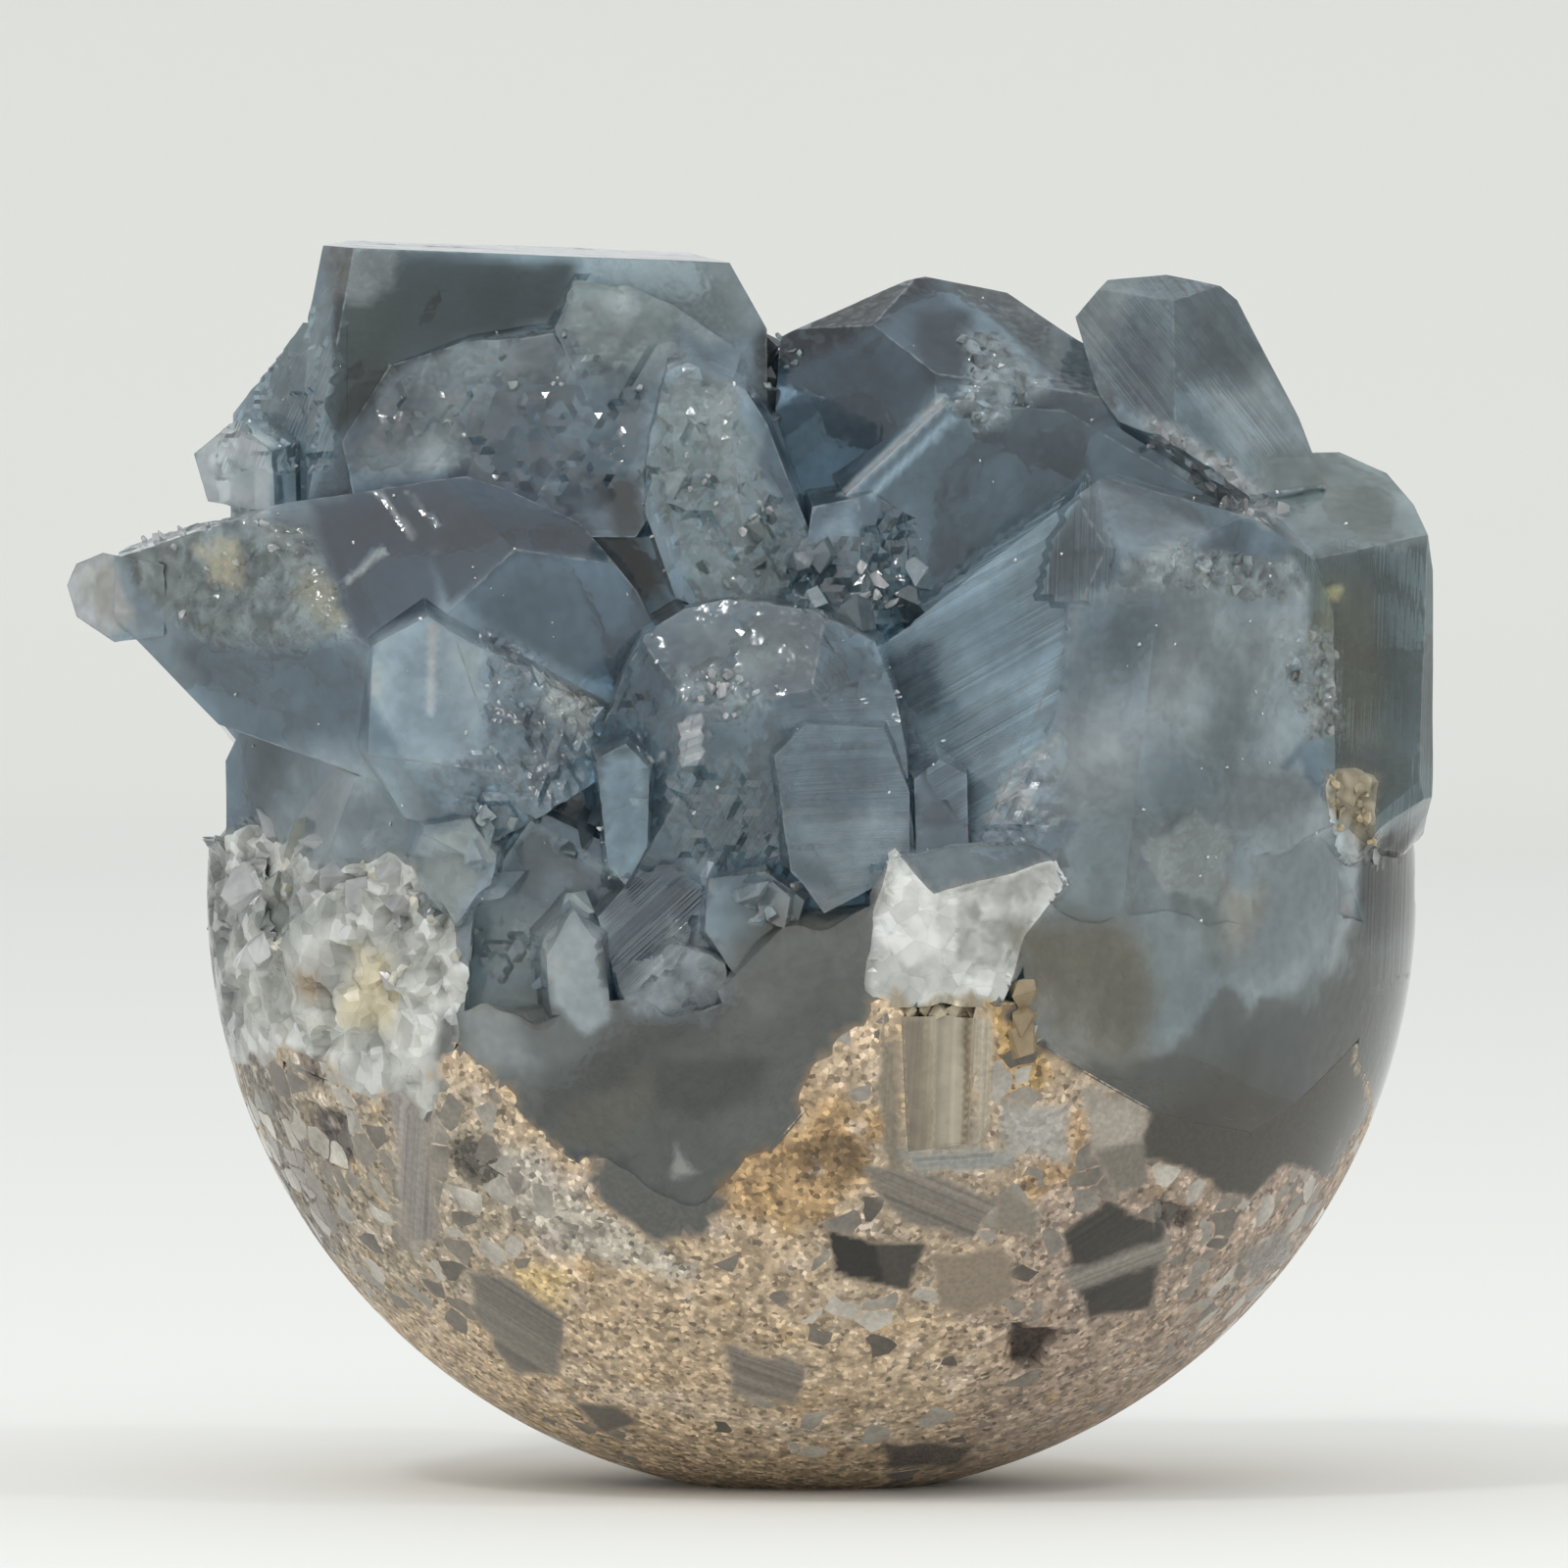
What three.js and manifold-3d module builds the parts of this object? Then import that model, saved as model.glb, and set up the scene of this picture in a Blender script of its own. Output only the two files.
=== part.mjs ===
// A celestite crystal cluster: blocky blue-grey crystals grown together on a sandy matrix,
// whose underside and lower crystals are ground and polished to one round bowl.
// Millimetres, +Z up, origin on the floor under the middle of the piece, front face towards -Y.
import * as THREE from "three";
import { ConvexGeometry } from "three/addons/geometries/ConvexGeometry.js";
import { mergeVertices } from "three/addons/utils/BufferGeometryUtils.js";
import Module from "manifold-3d";

const wasm = await Module();
wasm.setup();

const DEGREE = Math.PI / 180;
// Three planes whose normals span less than this have no corner in common.
const LEAST_SPAN = 1e-4;
// Corners this close to a plane, in mm, lie on it, and corners this close together are one.
const ON_PLANE = 1e-6;
const SAME_CORNER = 1e-4;

// The polished bowl: a ball squeezed front to back, ground flat underneath so that it stands.
const BOWL_RADIUS = 31.2;
const BOWL_SQUEEZE = 0.92;
const BOWL_CENTRE_X = 3.0;
const FOOT_RADIUS = 6.5;
const BOWL_CENTRE_Z = Math.sqrt(BOWL_RADIUS ** 2 - FOOT_RADIUS ** 2);
const BOWL_STEPS_ROUND = 64;
const BOWL_STEPS_UP = 24;

// The polish ends here, and above it every face is as it grew or broke, clear of a wide flare.
const POLISH_TOP = 33;
const CLUSTER_TOP = 72;
const FLARE_ANGLE = 45;

// The matrix fills the bowl up to here, except where crystal roots reach down into it. The slab
// that cuts it starts a little below the foot.
const MATRIX_TOP = 23.5;
const SLAB_BOTTOM = -1;
// Clear space kept between the two solids.
const SEAM = 0.3;

// How much a side face opens out behind the front face, in degrees, where nothing else is said.
const USUAL_LEAN = 3;

// Each crystal here is given as it looks square on: the corners [x, z] of its outline,
// anticlockwise, at the depth of its front face, which leans say how the side face behind each
// edge opens out (or, below 0, draws in), and back says how deep it runs. swing turns the front
// face towards the left, tip turns it upwards, and turn swings the whole crystal round the piece.
// cuts are further faces, each through a point [x, y, z] with a swing and a tip of its own.
const CRYSTALS = {
  rear_left_block: {
    outline: [[-22.2, 63.8], [-22.9, 60.5], [-22.9, 47], [0.7, 47], [0.7, 59.6], [-1.2, 63]],
    leans: [-4, -2, 0, 0, -6, 1.5],
    front: -7,
    back: 18,
    cuts: [
      { at: [-21.7, -7, 57], swing: 50, tip: 8 },
      { at: [-14, 11, 60], swing: 158, tip: 12 },
      { at: [-6, 12, 60], swing: 204, tip: 24 },
    ],
  },
  rear_left_shoulder: {
    outline: [[-23.1, 59.9], [-26.8, 55.2], [-27.1, 46], [-20.8, 46], [-20.8, 59.9]],
    leans: [-6, -4, 0, 0, -3],
    front: -4,
    swing: 46,
    back: 9,
  },
  clear_chip_left: {
    outline: [[-28.6, 53.2], [-27.9, 50.8], [-24.5, 50.2], [-24.6, 53.4], [-26.9, 54.6]],
    leans: [-5, 0, 20, 15, -5],
    front: -8,
    back: -2,
  },
  veil_left: {
    outline: [
      [-18.4, 57.2], [-20.9, 53], [-20, 49], [-6, 49], [-4, 52], [-4, 57.4], [-9.2, 59.6],
      [-14.9, 58.6],
    ],
    leans: [10, 0, 0, 10, 10, 12, 14, 12],
    front: -10.5,
    tip: 14,
    back: -1,
    cuts: [{ at: [-12, -11.5, 54], swing: 24, tip: 20 }],
  },
  veil_right: {
    outline: [
      [-9.2, 62.1], [-10.2, 59.6], [-8, 55], [-1.6, 55], [-0.6, 58.4], [-4, 60.8], [-6.2, 61.7],
    ],
    leans: [-4, 0, 0, 0, 0, -4, -8],
    front: -9.6,
    tip: 10,
    back: 1,
  },
  tip_lobe: {
    outline: [
      [-34.6, 47.6], [-35.1, 46.5], [-34.6, 44.9], [-32.6, 43.6], [-30, 44], [-30, 47.6],
      [-33.2, 48.2],
    ],
    leans: [-10],
    front: -11,
    swing: 42,
    back: -3,
  },
  left_block: {
    outline: [
      [-33.1, 49.8], [-33.3, 43.9], [-27.2, 38.2], [-14, 35], [-5, 40], [-4.9, 44.3], [-6.4, 47.3],
      [-8.9, 50.3], [-12.4, 51.9], [-14.9, 52.7],
    ],
    leans: [-3, -6, -8, 0, 0, 0, -2, -3, -3, -4],
    front: -23,
    back: 4,
    cuts: [
      { at: [-25.2, -17, 47], swing: 37, tip: 8 },
      { at: [-19.7, -21, 43.6], swing: 37, tip: -14 },
      { at: [-19.7, -21, 43.8], swing: 2, tip: 36 },
      { at: [-15.7, -20, 46], swing: -22, tip: 14 },
      { at: [-10, -14, 50.4], swing: -30, tip: 50 },
      { at: [-26, -6, 50.6], swing: 80, tip: 70 },
      { at: [-24, 0, 46], swing: 150, tip: 26 },
    ],
  },
  pale_lump: {
    outline: [
      [-19.2, 43.7], [-19.4, 38], [-17.4, 34.9], [-12.9, 33.9], [-8.2, 36.6], [-7.7, 39.4],
      [-10.4, 41.2], [-16.4, 45.2],
    ],
    leans: [8, 4, 0, 0, 6, 10, 14, 14],
    front: -24.4,
    tip: 10,
    swing: 10,
    back: -6,
    cuts: [
      { at: [-13.4, -24.2, 40], swing: -26, tip: 20 },
      { at: [-16, -24, 37], swing: 14, tip: -20 },
    ],
  },
  lower_left_face: {
    outline: [[-25.5, 40.5], [-27, 37.5], [-27, 32], [-14, 31], [-13, 34.6], [-16, 38.6], [-20, 41]],
    leans: [-4, -2, 0, 0, 6, 10, 10],
    front: -16.8,
    swing: 50,
    tip: -10,
    back: 8,
    cuts: [{ at: [-24, 3, 36], swing: 128, tip: 24 }],
  },
  lower_left_crust: {
    outline: [
      [-26.6, 33.8], [-28, 31], [-28.6, 24], [-16.4, 19.5], [-14.8, 24], [-14.2, 31], [-15.2, 34.6],
      [-19, 35.6],
    ],
    leans: [0, 0, 0, 0, 4, 4, 14, 14],
    front: -25,
    back: 0,
    cuts: [
      { at: [-25.4, -10.8, 29], swing: 64, tip: 10 },
      { at: [-20, -18.6, 28], swing: 46, tip: 0 },
      { at: [-16, -21.8, 28], swing: 30, tip: 4 },
    ],
  },
  rounded_chip: {
    outline: [
      [-17, 31.4], [-15, 29.4], [-13.2, 31.4], [-12.9, 33.4], [-14.2, 35], [-16.6, 34.6],
    ],
    leans: [6, 4, 6, 14, 18, 14],
    front: -24,
    swing: 16,
    back: -14,
  },
  recessed_window: {
    outline: [[-14.9, 29.5], [-14.9, 23], [-2.4, 23], [-2.4, 31.4], [-10.9, 35.3]],
    leans: [16, 0, 0, 0, 40],
    front: -21.5,
    swing: 10,
    back: -4,
  },
  bright_chip: {
    outline: [
      [-10.2, 28.4], [-9.9, 25.8], [-8.4, 24.2], [-7.2, 24.6], [-7.6, 29], [-8.9, 29.9],
    ],
    leans: [10, 12, 10, 8, 10, 14],
    front: -27,
    swing: 10,
    back: -18,
  },
  striated_prism: {
    outline: [[-7.8, 30], [-6.6, 25.6], [-3.2, 25.6], [-1.6, 29.6], [-2.4, 31.9], [-5.9, 32.2]],
    leans: [4, 0, 0, 6, 8, 8],
    front: -25,
    tip: 10,
    back: -8,
  },
  lower_flake: {
    outline: [[-6.9, 26.8], [-6.2, 24.9], [-3.4, 24.2], [-1, 25.4], [-1.4, 28], [-4, 28.8]],
    leans: [6],
    front: -27.2,
    back: -14,
  },
  grainy_knob: {
    outline: [[-2.4, 29.4], [-1, 27.6], [1.8, 28.6], [2.6, 31], [0.6, 32.4], [-2.2, 32]],
    leans: [8],
    front: -27,
    back: -10,
  },
  centre_dome: {
    outline: [
      [-6.4, 42.4], [-7.8, 38.6], [-7.6, 33.4], [-3, 30], [6, 30], [8.2, 33.2], [7.8, 37.4],
      [7, 41.2], [6, 43.7], [3, 45.3], [-0.4, 45.9], [-3.4, 45.4], [-5.4, 44.2],
    ],
    leans: [2, 2, 0, 0, 0, 2, 4, 4, 4, 2, 2, 2, 2],
    front: -25.6,
    back: 0,
    cuts: [
      { at: [-5.4, -24, 38], swing: 40, tip: 8 },
      { at: [-1, -25.4, 41], swing: 8, tip: 34 },
      { at: [4.8, -25.2, 40], swing: -34, tip: 24 },
      { at: [2, -25.6, 34], swing: 4, tip: -14 },
    ],
  },
  centre_sliver: {
    outline: [
      [-7.9, 38], [-7.3, 32.6], [-6.4, 31.7], [-5.3, 33.6], [-5.2, 37.6], [-6.4, 38.8],
    ],
    leans: [4, 6, 8, 12, 16, 12],
    front: -25.8,
    tip: 6,
    swing: 8,
    back: -12,
  },
  centre_step: {
    outline: [
      [1.1, 38.2], [1.9, 32.4], [3.6, 30.8], [7.9, 32.4], [7.9, 36.4], [6.6, 39.6], [2.6, 39.8],
    ],
    leans: [10, 0, 0, 4, 6, 10, 12],
    front: -27,
    tip: 8,
    swing: -8,
    back: -12,
  },
  slender_finger: {
    outline: [
      [-4.4, 57.2], [-5.2, 54.3], [-5.4, 50.3], [-3.9, 46], [-0.4, 44.6], [3.1, 45], [3.1, 48.3],
      [0.6, 54.8], [-0.4, 56.4], [-3.2, 57.6],
    ],
    leans: [2, 2, 2, 0, 0, 0, 4, 4, 6, 8],
    front: -17,
    tip: 8,
    back: 0,
    cuts: [
      { at: [-3.8, -17, 52], swing: 40, tip: 4 },
      { at: [-0.6, -17.2, 50], swing: -34, tip: 10 },
      { at: [-2, -16.6, 55], swing: 10, tip: 44 },
    ],
  },
  rim_crystal: {
    outline: [[3, 50.6], [2.6, 47.5], [4, 44.6], [8, 44.6], [7.6, 50], [6, 51.2]],
    leans: [4, 0, 0, 6, 8, 8],
    front: -15.6,
    tip: 12,
    back: -2,
    cuts: [{ at: [5.6, -15.6, 47.6], swing: -40, tip: 10 }],
  },
  rear_peak: {
    outline: [
      [8.8, 62.9], [7.6, 62.6], [1.1, 59.6], [0.6, 50], [3.1, 42], [27, 42], [27, 49.6],
      [16.1, 60.2], [13.6, 62],
    ],
    leans: [-5, -5, -3, 0, 0, 0, 0, -6, -5],
    front: -13,
    back: 9,
    cuts: [
      { at: [9.1, -12, 52], swing: 26, tip: 6 },
      { at: [9.1, -12, 52], swing: -10, tip: 5 },
      { at: [12.8, -11.2, 56.6], swing: -18, tip: 48 },
      { at: [4, -8, 60], swing: 30, tip: 60 },
      { at: [10, 7, 58], swing: 188, tip: 30 },
    ],
  },
  peak_layer: {
    outline: [[9.9, 56], [4.7, 51.2], [5.4, 45], [22, 43], [24.4, 50.4], [16, 55.4]],
    leans: [16, 8, 0, 0, 0, 10],
    front: -12.1,
    swing: -10,
    tip: 5,
    back: 0,
  },
  rear_right_knob: {
    outline: [
      [16.3, 60.3], [17.1, 57.8], [18.6, 55.4], [25.1, 51.6], [28.6, 53.2], [27.2, 56.8],
      [24.9, 61.2], [23.8, 62.1], [21.6, 62.7], [18.1, 62.4],
    ],
    leans: [-2, 10, 20, 30, 0, -4, -4, -6, -4, -3],
    front: -12,
    back: 8,
    cuts: [
      { at: [22, 5, 58], swing: 196, tip: 26 },
      { at: [21.5, -11.4, 57], swing: 20, tip: 12 },
      { at: [21.5, -11.4, 57], swing: -24, tip: 12 },
      { at: [21, -8.6, 62], swing: 6, tip: 62 },
    ],
  },
  right_slab: {
    outline: [
      [31.3, 53.3], [28.5, 53.2], [24.4, 52.4], [24.4, 28], [34.4, 28], [35, 38.8], [35, 47.3],
      [34.7, 49.1], [34.1, 50.8], [32.8, 52.6],
    ],
    leans: [0, 0, 0, 0, -2, -3, -3, -3, -3, -3],
    front: -16,
    back: 9,
    cuts: [
      { at: [30, -14, 44], swing: -28, tip: 3 },
      { at: [31, -13.4, 48.3], swing: -12, tip: 58 },
      { at: [27.4, -15.2, 50], swing: 22, tip: 44 },
      { at: [34.3, -11.6, 42], swing: -66, tip: 0 },
      { at: [31, -13, 31], swing: -40, tip: -14 },
      { at: [32, 4, 49], swing: 212, tip: 34 },
    ],
  },
  right_wedge: {
    outline: [
      [17.1, 52.1], [6.1, 43.8], [6.6, 40], [9.1, 34.8], [11.6, 30], [27, 24], [29, 27], [28.8, 44],
      [27.5, 47.5], [24, 50.2],
    ],
    leans: [-3, 0, 0, 0, 0, 0, 4, 6, 6, 2],
    front: -26,
    back: -2,
    cuts: [
      { at: [15.4, -24.2, 43], swing: 35, tip: 22 },
      { at: [15.4, -24.2, 43], swing: -12, tip: 6 },
      { at: [19.6, -22.4, 48.8], swing: -16, tip: 46 },
      { at: [24, -20.6, 38], swing: -36, tip: 2 },
    ],
  },
  dark_prism: {
    outline: [[8.1, 37], [8.3, 31.4], [10.9, 31.4], [10.8, 37.2], [9.4, 38]],
    leans: [6, 0, 0, 8, 12],
    front: -26,
    swing: -6,
    tip: 4,
    back: -14,
  },
  glint_crystal: {
    outline: [[0.1, 31.4], [0.4, 30.1], [1.6, 29.9], [1.9, 31.2], [1, 31.9]],
    leans: [10],
    front: -28,
    swing: 20,
    tip: 20,
    back: -20,
  },
  white_cleavage: {
    outline: [
      [5.9, 31], [6.1, 25.6], [12.4, 25.6], [15.5, 32.2], [14.8, 33], [6.9, 33.2],
    ],
    leans: [4, 0, 4, 6, 10, 8],
    front: -28,
    swing: -8,
    back: -16,
  },
  bed: {
    outline: [[-24, 31], [-26, 23.8], [32, 23.8], [30, 31]],
    leans: [-4, 0, -4, -14],
    front: -20,
    back: 20,
  },
  core: {
    outline: [[-20, 44], [-23, 30], [30, 30], [26, 46], [8, 54], [-10, 54]],
    leans: [-20],
    front: -8,
    back: 9,
  },
};

// Crystals of the sides and the back, in the mineral's own form: long along their axis, bounded by
// domes and flat pinacoids, and ending in a chisel of two prism faces and two steeper domes. Each
// is given by its root and its end, its turn about that line, and its reach across and up.
const DOME_ANGLE = 52.1;
const PRISM_ANGLE = 38.0;
const END_DOME_ANGLE = 50.6;
// How far the side faces, upper and lower domes and end domes lie out, as shares of the crystal's
// width and thickness, so that no two faces are quite alike.
const SIDE_SHARE = 1.05;
const UPPER_DOME_SHARE = 0.86;
const LOWER_DOME_SHARE = 0.8;
const END_DOME_SHARE = 0.3;
const FREE_CRYSTALS = [
  { root: [-8, 2, 30], end: [-19, 17, 55], roll: 20, width: 8.5, thickness: 7 },
  { root: [-3, 4, 32], end: [-6, 20, 57], roll: 75, width: 8.5, thickness: 7 },
  { root: [6, 4, 32], end: [9, 19, 58.5], roll: 40, width: 8, thickness: 7 },
  { root: [12, 2, 30], end: [22, 15, 55], roll: 65, width: 8, thickness: 6.5 },
  { root: [-10, 4, 24], end: [-23, 20, 43], roll: 10, width: 8.5, thickness: 6.5 },
  { root: [-2, 6, 24], end: [-7, 26, 45], roll: 50, width: 8.5, thickness: 7 },
  { root: [6, 6, 24], end: [9, 27, 42], roll: 20, width: 8, thickness: 7 },
  { root: [12, 4, 24], end: [24, 19, 44], roll: 60, width: 8, thickness: 6.5 },
  { root: [16, -2, 28], end: [32, 7, 44], roll: 35, width: 7.5, thickness: 6 },
  { root: [-12, 0, 28], end: [-27, 8, 46], roll: 25, width: 7, thickness: 5 },
  { root: [-4, 8, 20], end: [-15, 25, 34], roll: 60, width: 7, thickness: 6 },
  { root: [2, 10, 20], end: [1, 28, 35], roll: 35, width: 7, thickness: 6 },
  { root: [8, 8, 20], end: [17, 25, 35], roll: 30, width: 7, thickness: 6 },
  { root: [-12, 2, 20], end: [-26, 12, 34], roll: 80, width: 7, thickness: 5 },
  { root: [18, 2, 22], end: [31, 11, 35], roll: 15, width: 7, thickness: 6 },
];

// Roots are crystals that the grinding cut through, with their outlines drawn on the bowl.
const ROOTS = {
  left_rim_root: {
    outline: [[-33, 31.6], [-33, 25.6], [-26.4, 23.4], [-25.2, 23.2], [-26, 31.6]],
    front: -34,
    back: 0,
  },
  front_left_root: {
    outline: [
      [-15.6, 24.2], [-15.6, 21.4], [-11.4, 17], [-3.4, 12.3], [-0.4, 14.2], [6.2, 23], [6.2, 26],
    ],
    leans: [0, -10, -10, -10, -10, -10, 4],
    front: -34,
    back: 2,
  },
  front_middle_root: {
    outline: [[-1.6, 26], [-1, 23.6], [6.6, 23.6], [6.6, 30.2], [2, 29.6]],
    leans: [0, 0, 0, 4, 6],
    front: -34,
    back: -8,
  },
  column_root: {
    outline: [[6.6, 26], [6.7, 17], [12, 17.6], [12.2, 26]],
    leans: [-8],
    front: -34,
    back: -8,
  },
  front_right_root: {
    outline: [
      [12.2, 30.6], [12.6, 23.2], [19.4, 18], [25.2, 15.5], [29.4, 17.4], [37, 22.6], [37, 27.4],
    ],
    leans: [-10, -10, -10, -10, -10, -10, 3],
    front: -34,
    back: 4,
  },
  right_root: {
    outline: [[-14, 31], [-12, 21], [-2, 17], [7, 20], [12, 31]],
    turn: 90,
    leans: [-10],
    front: -40,
    back: -14,
  },
  back_right_root: {
    outline: [[-26, 31], [-22, 22], [-14, 17.6], [-8, 20.4], [-5, 31]],
    turn: 180,
    leans: [-10],
    front: -34,
    back: -8,
  },
  back_left_root: {
    outline: [[-2, 31], [3, 19], [9, 15.4], [17, 19.6], [24, 31]],
    turn: 180,
    leans: [-10],
    front: -34,
    back: -8,
  },
  left_side_root: {
    outline: [[-14, 32.6], [-9, 20], [-2, 18.4], [6, 22], [10, 32.6]],
    turn: -90,
    leans: [-10],
    front: -40,
    back: -10,
  },
};

// Where the matrix stands up higher between two roots.
const MATRIX_HUMPS = [
  { outline: [[5.4, 22], [13.8, 22], [12, 26.6], [7, 27]], front: -34, back: -12 },
  { outline: [[9, 22], [20, 22], [18, 29.6], [12, 31]], turn: 90, front: -40, back: -14 },
  { outline: [[-34, 22], [-20, 22], [-23, 29], [-30, 31]], turn: 180, front: -34, back: -8 },
  { outline: [[-8, 22], [2, 22], [0, 30], [-5, 31.4]], turn: 180, front: -34, back: -12 },
  { outline: [[20, 22], [34, 22], [30, 29], [23, 31.4]], turn: 180, front: -34, back: -8 },
  { outline: [[-22, 22], [-10, 22], [-12, 30], [-19, 31]], turn: -90, front: -40, back: -14 },
];

// Everything that the grinding left: the ball with its ground foot, and the flare above it.
function bowlGeometry() {
  const profile = [new THREE.Vector2(0, 0)];
  const start = -Math.asin(BOWL_CENTRE_Z / BOWL_RADIUS);
  const end = Math.asin((POLISH_TOP - BOWL_CENTRE_Z) / BOWL_RADIUS);
  for (let i = 0; i <= BOWL_STEPS_UP; i += 1) {
    const angle = start + ((end - start) * i) / BOWL_STEPS_UP;
    const height = BOWL_CENTRE_Z + BOWL_RADIUS * Math.sin(angle);
    profile.push(new THREE.Vector2(BOWL_RADIUS * Math.cos(angle), height));
  }
  const flare = (CLUSTER_TOP - POLISH_TOP) * Math.tan(FLARE_ANGLE * DEGREE);
  profile.push(new THREE.Vector2(BOWL_RADIUS + flare, CLUSTER_TOP), new THREE.Vector2(0, CLUSTER_TOP));
  return new THREE.LatheGeometry(profile, BOWL_STEPS_ROUND)
    .rotateX(Math.PI / 2)
    .scale(1, BOWL_SQUEEZE, 1)
    .translate(BOWL_CENTRE_X, 0, 0);
}

// The direction of something swung from the front to the left and tipped upwards.
function facing(swing, tip) {
  const level = Math.cos(tip * DEGREE);
  return new THREE.Vector3(
    -Math.sin(swing * DEGREE) * level,
    -Math.cos(swing * DEGREE) * level,
    Math.sin(tip * DEGREE),
  );
}

function planeThrough(point, normal) {
  return { normal, distance: normal.dot(point) };
}

// The planes that bound a crystal given by its outline.
function outlinePlanes({ outline, front, back, leans = [USUAL_LEAN], swing = 0, tip = 0, cuts = [] }) {
  const middle = outline
    .reduce((sum, [x, z]) => sum.add(new THREE.Vector3(x, 0, z)), new THREE.Vector3())
    .divideScalar(outline.length)
    .setY(front);
  const face = facing(swing, tip);
  const onFace = ([x, z]) => {
    const rise = face.x * (x - middle.x) + face.z * (z - middle.z);
    return new THREE.Vector3(x, front - rise / face.y, z);
  };
  const planes = [
    planeThrough(middle, face),
    planeThrough(new THREE.Vector3(0, back, 0), new THREE.Vector3(0, 1, 0)),
  ];
  outline.forEach((corner, i) => {
    const next = outline[(i + 1) % outline.length];
    const along = onFace(next).sub(onFace(corner));
    const outward = new THREE.Vector3(next[1] - corner[1], 0, corner[0] - next[0]).normalize();
    const lean = leans[i % leans.length] * DEGREE;
    const rearward = outward.clone().multiplyScalar(Math.sin(lean)).setY(Math.cos(lean));
    const normal = along.cross(rearward).normalize();
    if (normal.dot(outward) < 0) normal.negate();
    planes.push(planeThrough(onFace(corner), normal));
  });
  cuts.forEach((cut) => {
    planes.push(planeThrough(new THREE.Vector3(...cut.at), facing(cut.swing, cut.tip)));
  });
  return planes;
}

// The planes that bound a crystal in the mineral's own form.
function formPlanes({ root: rootPoint, end, roll, width, thickness }) {
  const root = new THREE.Vector3(...rootPoint);
  const axis = new THREE.Vector3(...end).sub(root);
  const length = axis.length();
  axis.normalize();
  const side = new THREE.Vector3(0, 0, 1).cross(axis).normalize().applyAxisAngle(axis, roll * DEGREE);
  const flat = axis.clone().cross(side);
  const towards = (along, across, up) =>
    new THREE.Vector3()
      .addScaledVector(axis, along)
      .addScaledVector(side, across)
      .addScaledVector(flat, up);
  const dome = [Math.sin(DOME_ANGLE * DEGREE), Math.cos(DOME_ANGLE * DEGREE)];
  const prism = [Math.cos(PRISM_ANGLE * DEGREE), Math.sin(PRISM_ANGLE * DEGREE)];
  const endDome = [Math.cos(END_DOME_ANGLE * DEGREE), Math.sin(END_DOME_ANGLE * DEGREE)];
  const planes = [planeThrough(root, axis.clone().negate())];
  const add = (normal, reach) => {
    planes.push({ normal, distance: normal.dot(root) + reach });
  };
  [1, -1].forEach((s) => {
    add(towards(0, 0, s), thickness);
    add(towards(0, s, 0), width * SIDE_SHARE);
    add(towards(0, s * dome[0], dome[1]), width * UPPER_DOME_SHARE);
    add(towards(0, s * dome[0], -dome[1]), width * LOWER_DOME_SHARE);
    add(towards(prism[0], s * prism[1], 0), length * prism[0]);
    add(towards(endDome[0], 0, s * endDome[1]), length * endDome[0] + thickness * END_DOME_SHARE);
  });
  return planes;
}

// The convex body inside a set of planes, each moved outwards by grow.
function bodyInside(planes, grow) {
  const corners = [];
  const solve = new THREE.Matrix3();
  for (let i = 0; i < planes.length; i += 1) {
    for (let j = i + 1; j < planes.length; j += 1) {
      for (let k = j + 1; k < planes.length; k += 1) {
        const trio = [planes[i], planes[j], planes[k]];
        const [a, b, c] = trio.map((plane) => plane.normal);
        solve.set(a.x, a.y, a.z, b.x, b.y, b.z, c.x, c.y, c.z);
        if (Math.abs(solve.determinant()) < LEAST_SPAN) continue;
        const reach = trio.map((plane) => plane.distance + grow);
        const point = new THREE.Vector3(...reach).applyMatrix3(solve.invert());
        const inside = planes.every((p) => p.normal.dot(point) < p.distance + grow + ON_PLANE);
        if (inside) corners.push(point);
      }
    }
  }
  return new ConvexGeometry(corners);
}

function solidOf(geometry) {
  const bare = geometry.clone();
  bare.deleteAttribute("normal");
  bare.deleteAttribute("uv");
  const merged = mergeVertices(bare, SAME_CORNER);
  return new wasm.Manifold(
    new wasm.Mesh({
      numProp: 3,
      vertProperties: new Float32Array(merged.attributes.position.array),
      triVerts: new Uint32Array(merged.index.array),
    }),
  );
}

function geometryOf(solid) {
  const mesh = solid.getMesh();
  const geometry = new THREE.BufferGeometry();
  geometry.setAttribute("position", new THREE.BufferAttribute(mesh.vertProperties, 3));
  geometry.setIndex(new THREE.BufferAttribute(mesh.triVerts, 1));
  geometry.computeVertexNormals();
  return geometry;
}

function crystalSolid(crystal, grow = 0) {
  const planes = crystal.outline ? outlinePlanes(crystal) : formPlanes(crystal);
  return solidOf(bodyInside(planes, grow).rotateZ((crystal.turn ?? 0) * DEGREE));
}

// A slab across the whole piece, up to the matrix's usual top.
function levelSlab() {
  const width = 4 * BOWL_RADIUS;
  const box = new THREE.BoxGeometry(width, width, MATRIX_TOP - SLAB_BOTTOM);
  return solidOf(box.translate(0, 0, (MATRIX_TOP + SLAB_BOTTOM) / 2));
}

function unite(solids) {
  return solids.reduce((sum, solid) => sum.add(solid));
}

// The largest closed surface of a solid, without loose crumbs or sealed hollows.
function outerBody(solid) {
  return solid.decompose().reduce((best, body) => (body.volume() > best.volume() ? body : best));
}

const bowl = solidOf(bowlGeometry());
const roots = Object.values(ROOTS);
const crystals = [...Object.values(CRYSTALS), ...FREE_CRYSTALS];

function celestiteSolid() {
  const grown = unite([...roots, ...crystals].map((crystal) => crystalSolid(crystal)));
  return outerBody(grown.intersect(bowl));
}

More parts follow.
